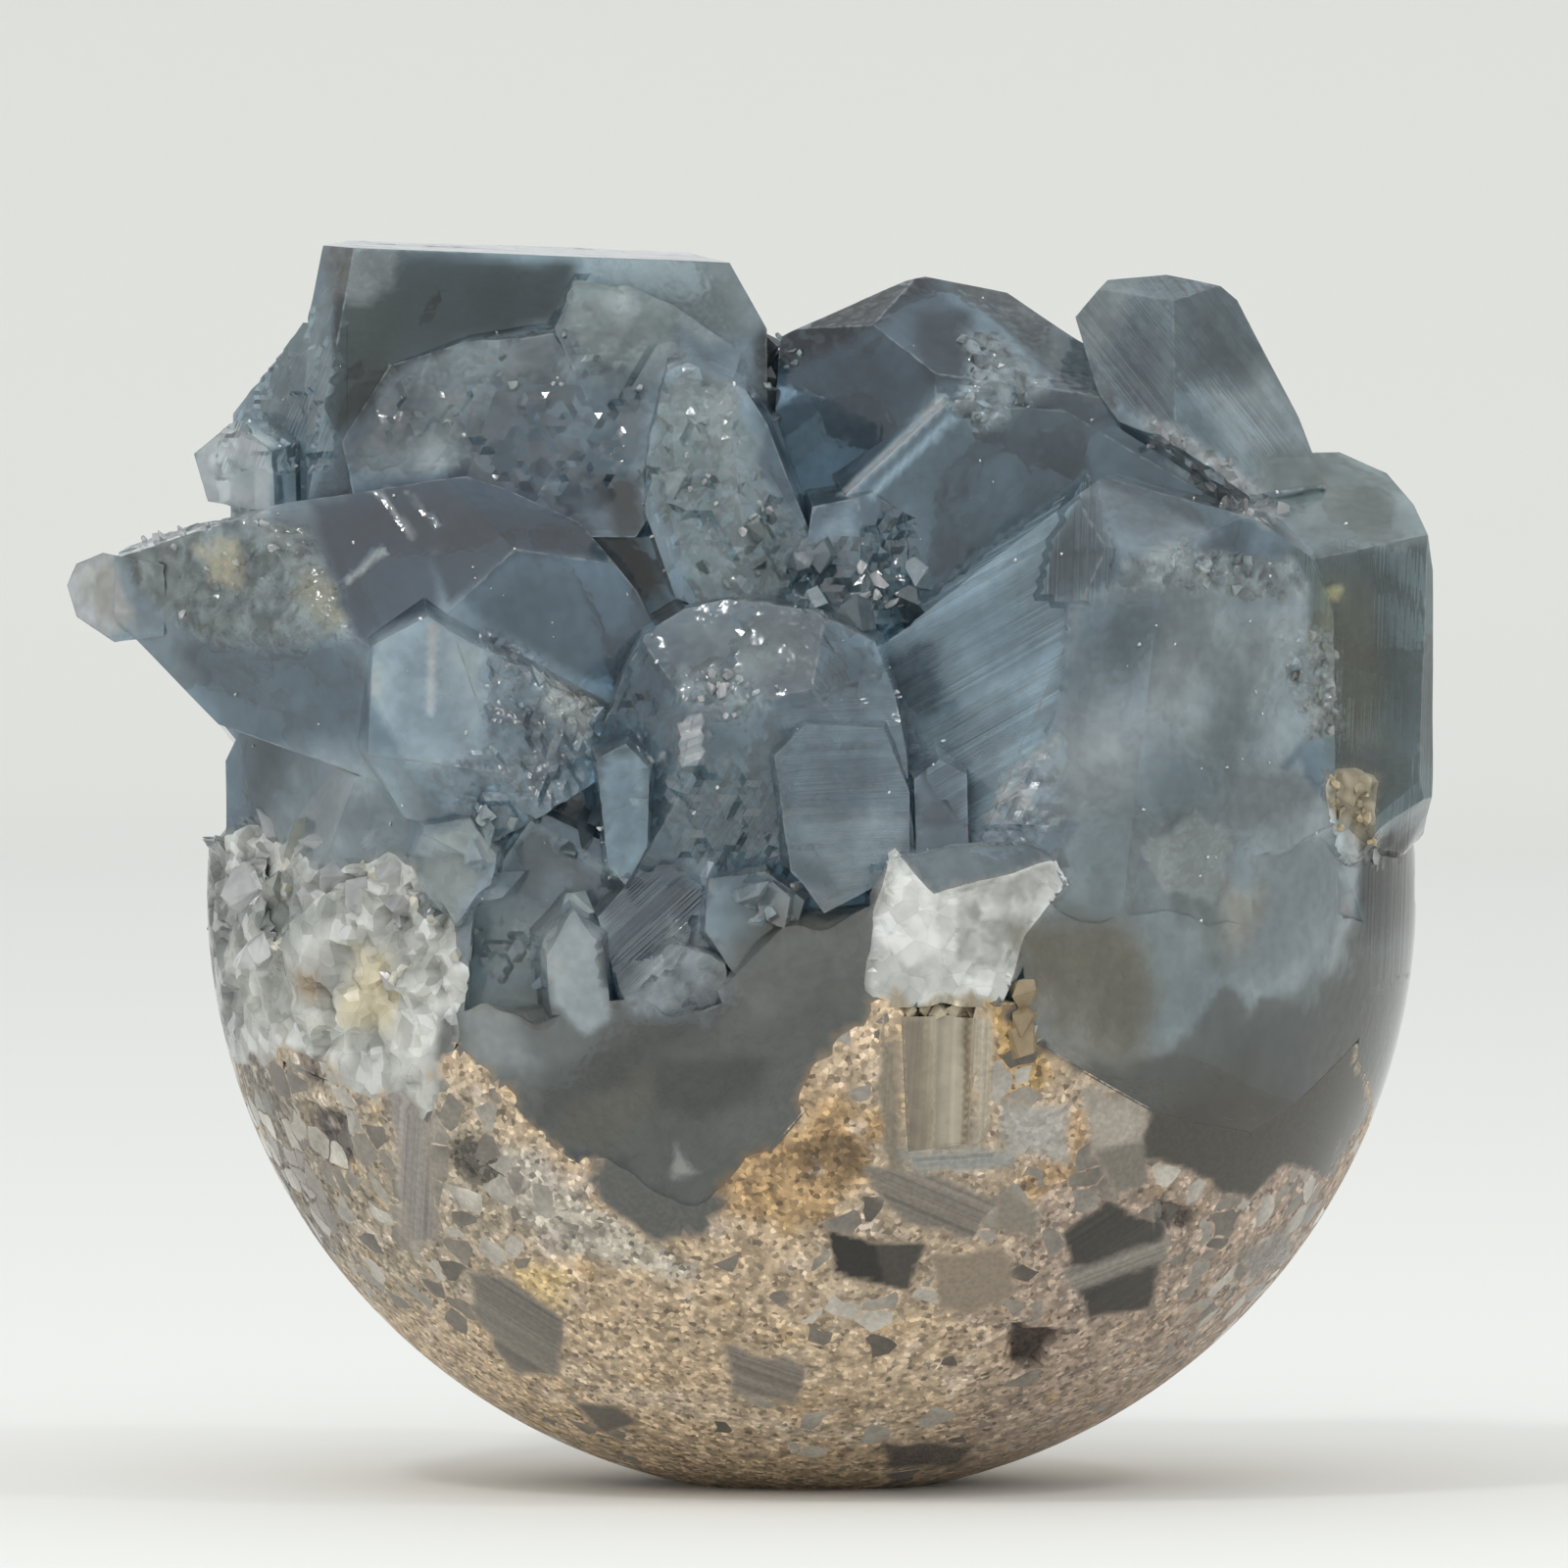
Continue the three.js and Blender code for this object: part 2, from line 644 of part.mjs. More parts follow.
function matrixSolid() {
  const hollows = unite([...roots, ...crystals].map((crystal) => crystalSolid(crystal, SEAM)));
  const humps = MATRIX_HUMPS.map((hump) => crystalSolid(hump));
  return outerBody(bowl.intersect(unite([levelSlab(), ...humps])).subtract(hollows));
}

const celestite = new THREE.Mesh(
  geometryOf(celestiteSolid()),
  new THREE.MeshStandardMaterial({ color: 0x77879a, roughness: 0.15, metalness: 0 }),
);
celestite.name = "celestite";

const matrix = new THREE.Mesh(
  geometryOf(matrixSolid()),
  new THREE.MeshStandardMaterial({ color: 0xb8a389, roughness: 0.6, metalness: 0 }),
);
matrix.name = "matrix";

const cluster = new THREE.Group();
cluster.add(celestite, matrix);

// The origin goes to the middle of the whole piece, seen from above.
const middle = new THREE.Box3().setFromObject(cluster).getCenter(new THREE.Vector3());
cluster.children.forEach((mesh) => mesh.geometry.translate(-middle.x, -middle.y, 0));

export default cluster;
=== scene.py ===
"""The looks of a celestite cluster: clear to cloudy blue-grey crystals on a sandy, polished matrix."""

import itertools
import math

import bmesh
import bpy
import numpy as np
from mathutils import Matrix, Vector
from mathutils.geometry import delaunay_2d_cdt, tessellate_polygon
from mathutils.kdtree import KDTree


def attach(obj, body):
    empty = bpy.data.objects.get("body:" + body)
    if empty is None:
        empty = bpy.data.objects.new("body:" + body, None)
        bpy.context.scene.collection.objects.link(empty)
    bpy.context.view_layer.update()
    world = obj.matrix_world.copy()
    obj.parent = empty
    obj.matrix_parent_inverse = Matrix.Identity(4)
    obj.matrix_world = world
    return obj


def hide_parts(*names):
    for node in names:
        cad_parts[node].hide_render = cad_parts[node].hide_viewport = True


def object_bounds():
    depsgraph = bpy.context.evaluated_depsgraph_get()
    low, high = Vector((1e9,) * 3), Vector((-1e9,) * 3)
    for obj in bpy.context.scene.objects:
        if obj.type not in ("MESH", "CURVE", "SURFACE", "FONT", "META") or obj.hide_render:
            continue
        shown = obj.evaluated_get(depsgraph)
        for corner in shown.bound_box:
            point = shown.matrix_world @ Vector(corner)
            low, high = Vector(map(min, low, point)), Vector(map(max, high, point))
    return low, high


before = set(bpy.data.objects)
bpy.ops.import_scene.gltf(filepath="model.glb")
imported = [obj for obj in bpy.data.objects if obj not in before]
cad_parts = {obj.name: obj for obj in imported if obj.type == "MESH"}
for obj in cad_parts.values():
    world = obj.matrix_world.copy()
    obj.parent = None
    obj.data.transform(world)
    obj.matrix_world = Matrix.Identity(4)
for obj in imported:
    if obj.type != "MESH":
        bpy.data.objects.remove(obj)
cad_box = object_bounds()

# Shapes are worked out in millimetres and go into Blender in metres.
MM = 0.001

# The polished bowl, as in the solids: a ball squeezed front to back.
BOWL_CENTRE = np.array([3.19, -0.17, 30.515])
BOWL_RADII = np.array([31.2, 28.704, 31.2])
POLISH_TOP = 33.0
# The solids have flat facets this close to the true bowl.
NEAR_BOWL = 0.08

# Corners of the solids closer than this are one, and faces that turn less than this are one face.
WELD = 0.001
FLAT_ANGLE = math.radians(0.4)
SAME_PLACE = 1e-7
# Edges that turn more than this count as crystal edges, and those that turn less are shaded smooth.
SHARP_ANGLE = math.radians(28)
SMOOTH_ANGLE = math.radians(12)
# The clear seam between the two solids, which the stone here is grown across.
SEAM = 0.3

# The longest edges of the dressed meshes: by crisp marks, on the front and elsewhere.
FINE_EDGE = 0.26
FRONT_EDGE = 0.42
OTHER_EDGE = 0.8


# Colours are given as they look on a screen, from 0 to 255.
def linear(red, green, blue):
    """A screen colour as the linear one that shaders use."""
    share = np.array([red, green, blue]) / 255
    return np.where(share > 0.04045, ((share + 0.055) / 1.055) ** 2.4, share / 12.92)


def rgba(colour):
    return (*linear(*colour), 1.0)


# Noise


def cell_number(cells, seed):
    """A fixed number from 0 to 1 for each whole-number cell."""
    mixed = cells.astype(np.int64) @ np.array([73856093, 19349663, 83492791]) + seed * 668265263
    mixed = (mixed ^ (mixed >> 13)) * 1274126177
    mixed = mixed ^ (mixed >> 16)
    return (mixed & 0xFFFFFF) / 0xFFFFFF


def noise(points, size, seed):
    """Smooth noise from -1 to 1 whose bumps are about size across."""
    scaled = points / size
    base = np.floor(scaled)
    part = scaled - base
    ease = part * part * (3 - 2 * part)
    total = np.zeros(len(points))
    for corner in itertools.product((0, 1), repeat=3):
        share = np.prod(np.where(corner, ease, 1 - ease), axis=1)
        total += share * cell_number(base + corner, seed)
    return 2 * total - 1


def clouds(points, size, seed, layers=3):
    """Noise of several sizes, each half the last, from about -1 to 1."""
    total = sum(noise(points, size / 2**i, seed + i) / 2**i for i in range(layers))
    return total / (2 - 0.5 ** (layers - 1))


def shards(points, size, seed):
    """A broken surface made of small tilted planes: heights from about -1 to 1, and a number from 0 to 1
    that is the same all over each plane."""
    scaled = points / size
    base = np.floor(scaled)
    nearest = np.full(len(points), np.inf)
    height = np.zeros(len(points))
    number = np.zeros(len(points))
    for step in itertools.product((-1, 0, 1), repeat=3):
        cell = base + step
        jitter = np.stack([cell_number(cell, seed + i) for i in range(3)], axis=1)
        offset = scaled - cell - jitter
        distance = (offset**2).sum(axis=1)
        closer = distance < nearest
        nearest[closer] = distance[closer]
        tilt = np.stack([cell_number(cell, seed + 3 + i) for i in range(3)], axis=1) * 2 - 1
        lift = cell_number(cell, seed + 6) - 0.5
        height[closer] = ((tilt * offset).sum(axis=1) + lift)[closer]
        number[closer] = cell_number(cell, seed + 7)[closer]
    return height, number


def ramp(value, low, high):
    """0 below low, 1 above high, and a smooth rise between."""
    share = np.clip((value - low) / (high - low), 0, 1)
    return share * share * (3 - 2 * share)


# Meshes


def plain_faces(node):
    """A solid's corners in millimetres and its flat faces, each as its corners' numbers in turn."""
    mesh = bmesh.new()
    mesh.from_mesh(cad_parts[node].data)
    bmesh.ops.remove_doubles(mesh, verts=mesh.verts, dist=WELD * MM)
    bmesh.ops.dissolve_limit(mesh, angle_limit=FLAT_ANGLE, verts=mesh.verts, edges=mesh.edges)
    points = np.array([v.co for v in mesh.verts]) / MM
    faces = [[v.index for v in f.verts] for f in mesh.faces]
    mesh.free()
    return points, faces


def cut_evenly(points, faces, longest):
    """Cuts flat faces into even triangles whose sides are about as long as longest allows."""
    corners = list(points)
    between = {}

    def along(start, end):
        """The numbers of the points put on an edge, from start up to end."""
        key = (min(start, end), max(start, end))
        if key not in between:
            a, b = points[key[0]], points[key[1]]
            count = math.ceil(np.linalg.norm(b - a) / longest((a + b) / 2))
            between[key] = list(range(len(corners), len(corners) + count - 1))
            corners.extend(a + (b - a) * i / count for i in range(1, count))
        return between[key] if start == key[0] else between[key][::-1]

    triangles = []
    for face in faces:
        ring = []
        for start, end in zip(face, face[1:] + face[:1]):
            ring += [start, *along(start, end)]
        triangles += cut_face(corners, ring, longest)
    return np.array(corners), np.array(triangles)


def cut_face(corners, ring, longest):
    """Triangles of one flat face with a grid of new points inside it."""
    outline = np.array([corners[i] for i in ring])
    middle = outline.mean(axis=0)
    normal = np.cross(outline - middle, np.roll(outline, -1, axis=0) - middle).sum(axis=0)
    normal /= max(np.linalg.norm(normal), 1e-12)
    right = np.cross(normal, (0, 0, 1) if abs(normal[2]) < 0.8 else (1, 0, 0))
    right /= np.linalg.norm(right)
    up = np.cross(normal, right)
    flat = (outline - middle) @ np.stack([right, up], axis=1)

    step = longest(middle, normal)
    low, high = flat.min(axis=0), flat.max(axis=0)
    rows = np.arange(low[1] + step / 2, high[1], step * math.sqrt(0.75))
    columns = np.arange(low[0], high[0] + step, step)
    grid = np.array([(x + step / 2 * (j % 2), y) for j, y in enumerate(rows) for x in columns]).reshape(-1, 2)
    inside = grid[inside_outline(grid, flat) > step * 0.55]
    start = len(corners)
    places = [Vector(p) for p in np.concatenate([flat, inside])]
    made = delaunay_2d_cdt(places, [], [list(range(len(ring)))], 1, SAME_PLACE)
    origins = [origin[0] if len(origin) == 1 else -1 for origin in made[3]]
    if min(origins) < 0 or len(origins) != len(places):
        return [[ring[i] for i in trio] for trio in tessellate_polygon([[Vector(p) for p in outline]])]
    corners.extend(middle + x * right + y * up for x, y in inside)
    number = ring + list(range(start, start + len(inside)))
    return [[number[origins[i]] for i in trio] for trio in made[2]]


def inside_outline(flat, corners):
    """How far inside an outline each point of its plane is, below 0 outside."""
    nearest = np.full(len(flat), np.inf)
    crossings = np.zeros(len(flat), int)
    for start, end in zip(corners, np.roll(corners, -1, axis=0)):
        edge = end - start
        share = np.clip(((flat - start) @ edge) / max(edge @ edge, 1e-12), 0, 1)
        nearest = np.minimum(nearest, np.linalg.norm(flat - start - share[:, None] * edge, axis=1))
        straddles = (start[1] > flat[:, 1]) != (end[1] > flat[:, 1])
        rise = edge[1] if edge[1] else 1e-9
        crossings += straddles & (flat[:, 0] < start[0] + (flat[:, 1] - start[1]) / rise * edge[0])
    return np.where(crossings % 2 == 1, nearest, -nearest)


def edge_table(triangles, count):
    """Each edge once, and for each triangle the numbers of its three edges."""
    ends = np.sort(triangles[:, [[0, 1], [1, 2], [2, 0]]].reshape(-1, 2), axis=1)
    keys, where = np.unique(ends[:, 0] * count + ends[:, 1], return_inverse=True)
    return np.stack([keys // count, keys % count], axis=1), where.reshape(-1, 3)


def onto_line(points, triangles, value, held):
    """Moves corners along their edges onto the line where a value crosses zero, but not those held."""
    edges = edge_table(triangles, len(points))[0]
    edges = edges[(value[edges[:, 0]] > 0) != (value[edges[:, 1]] > 0)]
    start, end = value[edges].T
    share = start / (start - end)
    places = points[edges[:, 0]] + share[:, None] * (points[edges[:, 1]] - points[edges[:, 0]])
    for side, close in ((0, share < 0.5), (1, share >= 0.5)):
        close = close & ~held[edges[:, side]]
        points[edges[close, side]] = places[close]
        value[edges[close, side]] = 0


def face_normals(points, triangles):
    a, b, c = points[triangles].transpose(1, 0, 2)
    across = np.cross(b - a, c - a)
    return across / np.maximum(np.linalg.norm(across, axis=1, keepdims=True), 1e-12)


def corner_normals(points, triangles, faces=None):
    """The mean direction of the faces round each corner, or of the chosen faces only."""
    a, b, c = points[triangles].transpose(1, 0, 2)
    across = np.cross(b - a, c - a)
    if faces is not None:
        across = across * faces[:, None]
    total = np.zeros_like(points)
    for i in range(3):
        np.add.at(total, triangles[:, i], across)
    return total / np.maximum(np.linalg.norm(total, axis=1, keepdims=True), 1e-12)


def bowl_height(points):
    """How far outside the polished bowl each point is."""
    return (np.linalg.norm((points - BOWL_CENTRE) / BOWL_RADII, axis=1) - 1) * BOWL_RADII[0]


def onto_bowl(points):
    out = (points - BOWL_CENTRE) / BOWL_RADII
    return BOWL_CENTRE + BOWL_RADII * out / np.linalg.norm(out, axis=1, keepdims=True)


def polished_faces(points, triangles):
    """Which triangles lie on the bowl."""
    near = (np.abs(bowl_height(points)) < NEAR_BOWL) & (points[:, 2] < POLISH_TOP + NEAR_BOWL)
    middles = points[triangles].mean(axis=1)
    outwards = (middles - BOWL_CENTRE) / BOWL_RADII**2
    outwards /= np.linalg.norm(outwards, axis=1, keepdims=True)
    return near[triangles].all(axis=1) & ((face_normals(points, triangles) * outwards).sum(axis=1) > 0.9)


def make_mesh(name, points, triangles, materials, slots, fields):
    """A mesh object from millimetre points, with a material for each triangle and fields for the shaders."""
    mesh = bpy.data.meshes.new(name)
    mesh.from_pydata(points * MM, [], triangles.tolist())
    for material in materials:
        mesh.materials.append(material)
    mesh.polygons.foreach_set("material_index", slots.astype(np.int32))
    mesh.polygons.foreach_set("use_smooth", np.ones(len(triangles), bool))
    mesh.set_sharp_from_angle(angle=SMOOTH_ANGLE)
    for field, values in fields.items():
        if values.ndim == 2:
            attribute = mesh.color_attributes.new(field, "FLOAT_COLOR", "POINT")
            attribute.data.foreach_set("color", np.c_[values, np.ones(len(values))].ravel())
        else:
            attribute = mesh.attributes.new(field, "FLOAT", "POINT")
            attribute.data.foreach_set("value", values.astype(np.float32))
    mesh.update()
    piece = bpy.data.objects.new(name, mesh)
    bpy.context.scene.collection.objects.link(piece)
    return piece


# Marks: named places on the front, each with its outline [x, z] in millimetres

# A mark shows on faces that look forwards at least this much, and no further back than this.
FRONT_FACING = (-0.1, 0.15)
FRONT_WANDER = 0.35
MARK_BACK = 2.0
# How far a mark may reach past its outline, and the size of the wander of its edge.
MARK_MARGIN = 2.5
WANDER_SIZE = 1.8
# A mark's edge is this soft and ragged unless it says otherwise, and crisp below the next value. The
# mesh is finer this close to a crisp one, but not on faces that look further away from the front than
# AWAY.
SOFT = 0.4
RAGGED = 0.5
CRISP = 0.21
FINE_MARGIN = 0.3
AWAY = 0.35


def wander_at(points):
    return np.stack([clouds(points, WANDER_SIZE, seed) for seed in (11, 12, 13)], axis=1)


def wandered(points, wander, mark):
    """Points seen from the front, moved as the ragged outline of a mark wanders."""
    return (points + wander * mark.get("ragged", RAGGED))[:, [0, 2]]


def mark_strength(points, normals, wander, mark):
    """How strongly a mark shows at each point, from 0 to 1. wander makes its outline ragged."""
    soft = mark.get("soft", SOFT)
    flat = wandered(points, wander, mark)
    strength = ramp(inside_outline(flat, np.array(mark["outline"])), -soft, soft)
    front = ramp(-normals[:, 1] + FRONT_WANDER * wander[:, 1], *FRONT_FACING)
    return strength * front * mark.get("strength", 1)


# Clear crystals: what each part of them looks like on the front. haze is a milky look, rough a broken
# face, relief the height of its steps in millimetres and grain their size, lines how strongly fine
# growth lines show and slant their direction in degrees, crust a share that isn't clear at all.
CRYSTAL_MARKS = {
    "rear_left_window": {
        "outline": [(-21.3, 63.6), (-9, 63), (-9.5, 59.9), (-14.3, 58.9), (-18, 57.7), (-20.8, 54.4), (-21.8, 54)],
        "colour": (50, 59, 62), "soft": 0.5,
    },
    "rear_left_brown": {
        "outline": [(-21.2, 61.4), (-16.8, 61.4), (-18.3, 57.4), (-20.8, 54.9)],
        "colour": (50, 55, 52), "soft": 1.0, "strength": 0.8,
    },
    "rear_left_corner": {
        "outline": [(-21.7, 63.9), (-17.8, 63.7), (-18.3, 61.6), (-21.5, 60.9)],
        "colour": (106, 106, 104), "rough": 0.6, "ragged": 0.9, "strength": 0.8,
    },
    "rear_left_side": {
        "outline": [(-21.5, 62), (-21.3, 52.5), (-27.4, 52.3), (-26.3, 56), (-24.3, 58.8)],
        "colour": (110, 120, 124), "haze": 0.2, "lines": 0.4, "slant": 70, "relief": 0.25, "grain": 3.5, "soft": 0.2,
    },
    "rear_left_bevel": {
        "outline": [(-9, 63.4), (-1, 63.2), (1, 60), (-2, 58.6), (-4.5, 60.3), (-7.3, 61.8)],
        "colour": (124, 133, 135), "haze": 0.3, "rough": 0.3,
    },
    "veil": {
        "outline": [
            (-20.8, 52.2), (-18, 57.5), (-14.8, 58.8), (-10.3, 59.8), (-9, 62.2), (-5.8, 61.8), (-3.8, 60.6),
            (-3.3, 58.4), (-5.3, 56.4), (-5.8, 52.9), (-8.3, 50.4), (-14.3, 52.9),
        ],
        "colour": (94, 102, 105), "haze": 0.7, "rough": 0.16, "relief": 0.18, "grain": 2.2, "soft": 0.3,
    },
    "veil_window": {
        "outline": [(-13.3, 56.2), (-7.3, 56.6), (-5.4, 53.2), (-8.3, 50), (-13.3, 52)],
        "colour": (84, 96, 104), "soft": 1.4, "haze": -0.4, "rough": -0.3,
    },
    "veil_low": {
        "outline": [(-19.8, 53.4), (-16, 54.6), (-14.6, 52.6), (-17.4, 51.2)],
        "colour": (122, 130, 132), "soft": 0.9, "haze": 0.3,
    },
    "veil_crest": {
        "outline": [(-9, 62.3), (-3.8, 60.8), (-3.8, 58.9), (-5.8, 57.4), (-8.3, 58.4), (-9.5, 59.7)],
        "colour": (120, 127, 125), "haze": 0.5, "soft": 0.4,
    },
    "small_chip_left": {
        "outline": [(-28.4, 54.6), (-24.6, 54.4), (-24.4, 50.2), (-28.6, 50.4)],
        "colour": (150, 156, 155), "haze": 0.4,
    },
    "left_tip": {
        "outline": [
            (-33.2, 50), (-26.5, 50.6), (-22.3, 49.4), (-21, 46.9), (-19.8, 44.4), (-23.3, 43.2), (-27.3, 43.4),
            (-31, 46.2),
        ],
        "colour": (112, 118, 117), "haze": 0.3, "rough": 0.6, "relief": 0.15, "grain": 0.9, "soft": 0.3,
    },
    "left_tip_lobe": {
        "outline": [(-35.4, 48), (-32.8, 48.4), (-31.6, 45), (-33.6, 43.4), (-35.4, 45)],
        "colour": (150, 150, 144), "haze": 0.8,
    },
    "left_tip_ochre": {
        "outline": [(-28, 48.8), (-26.1, 48.8), (-25.8, 46.5), (-27.5, 46.7)],
        "colour": (168, 160, 138), "rough": 0.5, "ragged": 0.8,
    },
    "left_tip_stain": {
        "outline": [(-22.3, 47.6), (-19.9, 45.2), (-21.2, 44.4), (-22.8, 46.2)],
        "colour": (134, 130, 112), "ragged": 0.6, "strength": 0.7,
    },
    "left_middle": {
        "outline": [(-22.3, 50.9), (-15.5, 52.4), (-8.3, 51.4), (-15.8, 48.4), (-15.5, 41.9), (-19.3, 43.4), (-21, 46.9)],
        "colour": (54, 70, 84),
    },
    "left_right_face": {
        "outline": [(-15.6, 48.4), (-8.3, 51.2), (-4.8, 45.4), (-5.8, 41), (-10.3, 42.9), (-14.3, 45.4)],
        "colour": (88, 101, 110), "soft": 0.3,
    },
    "left_bevel": {
        "outline": [(-16.1, 48.1), (-14, 50.6), (-9, 50.6), (-6.6, 47.9), (-11.7, 48.4), (-15.2, 45.6)],
        "colour": (48, 62, 73), "soft": 0.3, "ragged": 0.2,
    },
    "left_lower_face": {
        "outline": [(-29, 43.6), (-19.8, 43.7), (-18.8, 37.4), (-23.3, 35.4), (-26, 36.9)],
        "colour": (94, 105, 112), "soft": 0.7,
    },
    "left_lower_shadow": {
        "outline": [(-25.2, 39.6), (-23.8, 39.6), (-23.4, 34.6), (-24.9, 35.4)],
        "colour": (74, 86, 94), "soft": 0.7, "strength": 0.7,
    },
    "scratch_a": {
        "outline": [(-19.2, 51.6), (-19.0, 51.6), (-16.7, 48.9), (-17.0, 48.9)],
        "colour": (158, 161, 160), "rough": 0.5, "soft": 0.12, "ragged": 0.5, "strength": 0.8,
    },
    "scratch_b": {
        "outline": [(-20.6, 46.9), (-20.4, 46.6), (-18.2, 48.3), (-18.5, 48.6)],
        "colour": (140, 145, 145), "rough": 0.5, "soft": 0.12, "ragged": 0.5,
    },
    "scratch_c": {
        "outline": [(-17.7, 51.4), (-17.5, 51.3), (-15.4, 49.7), (-15.7, 49.6)],
        "colour": (130, 136, 137), "rough": 0.5, "soft": 0.12, "ragged": 0.5,
    },
    "pale_lump": {
        "outline": [(-19.1, 44.2), (-16.3, 45.5), (-13.3, 43.4), (-12.6, 38.4), (-14.8, 36.8), (-17.3, 38), (-19.2, 41.4)],
        "colour": (130, 141, 147), "haze": 0.8, "soft": 0.35, "ragged": 0.3,
    },
    "pale_lump_broken": {
        "outline": [(-13.3, 44.4), (-7.5, 40.4), (-8.3, 36.9), (-11.3, 33.9), (-14.8, 34.7), (-16.5, 36.9), (-13.3, 38.4)],
        "colour": (103, 114, 120), "haze": 0.6, "rough": 0.5, "relief": 0.25, "grain": 1.3,
    },
    "pale_lump_fringe": {
        "outline": [(-10.6, 42.3), (-7.3, 40.6), (-8.3, 38.7), (-9.9, 40)],
        "colour": (134, 136, 132), "rough": 0.6, "relief": 0.2, "grain": 0.9,
    },
    "pale_lump_line": {
        "outline": [(-16.1, 44.6), (-15.8, 44.6), (-15.9, 40.2), (-16.2, 40.2)],
        "colour": (168, 178, 184), "soft": 0.15, "ragged": 0.1,
    },
    "blue_cloud": {
        "outline": [(-23, 38.4), (-16.8, 38.2), (-15.6, 32.6), (-22.3, 31.4), (-24.6, 34)],
        "colour": (124, 134, 139), "soft": 1.3, "haze": 1.0, "ragged": 1.0,
    },
    "crust": {
        "outline": [
            (-28.4, 34), (-25.6, 34.4), (-21.8, 31.8), (-18.3, 32.8), (-14.6, 30.2), (-14.1, 26.4), (-15.1, 21.2),
            (-18.3, 18.8), (-24, 20), (-28.6, 24),
        ],
        "colour": (174, 175, 169), "crust": 1, "rough": 0.4, "relief": 0.6, "grain": 2.4, "soft": 0.4, "ragged": 1.1,
    },
    "crust_grey": {
        "outline": [(-27, 32.4), (-23.6, 31.9), (-21, 29.6), (-23.5, 28.2), (-26.9, 29)],
        "colour": (144, 148, 144), "soft": 0.7, "ragged": 1.2,
    },
    "crust_cream": {
        "outline": [(-20.6, 28.4), (-18.4, 28), (-18.2, 24.2), (-20.9, 24.4)],
        "colour": (196, 187, 160), "ragged": 0.9, "soft": 0.5,
    },
    "crust_brown": {
        "outline": [(-23.5, 27.2), (-21.9, 27), (-21.6, 25.4), (-23.4, 25.4)],
        "colour": (146, 130, 110), "ragged": 0.8,
    },
    "crust_white": {
        "outline": [(-18.3, 26.6), (-14.4, 27), (-14.8, 21.7), (-17.8, 21.5)],
        "colour": (204, 205, 199), "ragged": 0.9,
    },
    "rounded_chip": {
        "outline": [(-16.9, 29.9), (-16.3, 33.9), (-13.8, 34.9), (-12.5, 33.4), (-13.3, 30.9), (-14.8, 29.7)],
        "colour": (137, 143, 142), "haze": 0.7, "crust": -1, "ragged": 0.3,
    },
    "left_rim": {
        "outline": [(-29, 33.4), (-26.7, 33.2), (-27.2, 27), (-25.6, 21), (-29, 21)],
        "colour": (122, 125, 121), "haze": 0.8, "ragged": 0.4,
    },
    "peak_left_face": {
        "outline": [(0.4, 59.2), (8.8, 63), (11.2, 60.2), (10.6, 57.4), (9.3, 56.4), (4.8, 50.4), (3, 49), (0.4, 52)],
        "colour": (76, 87, 95), "soft": 0.4,
    },
    "peak_shade": {
        "outline": [(8.4, 60.4), (11.2, 60.8), (11.8, 58), (10.6, 57), (8.6, 57.2)],
        "colour": (54, 62, 68), "soft": 0.5,
    },
    "peak_top_band": {
        "outline": [(0.6, 59.4), (8.3, 63.1), (9, 61.6), (5, 59), (1, 57.2)],
        "colour": (36, 42, 46), "haze": 0.1, "rough": 0.3, "soft": 0.7,
    },
    "peak_right_face": {
        "outline": [(9.8, 57), (16.8, 56.8), (26, 49.6), (24, 47.6), (16.8, 51.9), (7.8, 44.6), (5.2, 50.6)],
        "colour": (82, 93, 99), "soft": 0.4,
    },
    "peak_pale_facet": {
        "outline": [(9.5, 63), (15.8, 61.6), (17.3, 58.9), (19.4, 55.4), (15.8, 56.6), (12.8, 59.9)],
        "colour": (88, 93, 95), "haze": 0.6, "rough": 0.3, "soft": 0.3,
    },
    "peak_chip": {
        "outline": [(11, 59.4), (12.6, 59.1), (15.6, 56.6), (11.8, 54.4), (10.6, 55.8)],
        "colour": (118, 125, 127), "haze": 0.4, "rough": 0.7, "relief": 0.22, "grain": 0.8, "ragged": 0.8,
    },
    # Thin painted highlights along the peak's ridge.
    "peak_ridge_highlight": {
        "outline": [(9.8, 56.3), (10.2, 56), (5, 51.1), (4.5, 51.2)],
        "colour": (156, 168, 174), "soft": 0.15, "ragged": 0.1,
    },
    "peak_ridge_highlight_low": {
        "outline": [(10.5, 55.5), (10.8, 55.2), (6.3, 51), (5.9, 51.1)],
        "colour": (128, 141, 149), "soft": 0.15, "ragged": 0.1,
    },
    "knob": {
        "outline": [
            (16.3, 60.9), (18.3, 62.6), (23.8, 63), (26, 60), (29, 53.2), (24.8, 52.7), (20.8, 54.9), (17.6, 57.4),
        ],
        "colour": (90, 100, 104), "lines": 0.4, "slant": -52, "rough": 0.15,
    },
    "knob_left": {
        "outline": [(16.3, 60.9), (18.3, 62.5), (19.8, 62.2), (19, 59.4), (17.5, 58)],
        "colour": (98, 104, 104), "haze": 0.5, "soft": 0.5,
    },
    "knob_low": {
        "outline": [(23, 56.4), (27, 57.8), (29, 53.2), (25, 52.7)],
        "colour": (128, 137, 140), "haze": 0.7, "soft": 1.1,
    },
    "knob_strip": {
        "outline": [(20.3, 55.4), (26.3, 51.6), (27.5, 49.2), (25.3, 50.2), (20.6, 53.7)],
        "colour": (150, 150, 148), "rough": 0.6, "relief": 0.18, "grain": 0.9,
    },
    "slab_top": {
        "outline": [(25.1, 53.2), (31.8, 53.3), (34, 51.6), (35.2, 48.7), (31.8, 48.4), (28.3, 48.7)],
        "colour": (112, 120, 119), "haze": 0.4, "soft": 0.3,
    },
    "slab_face": {
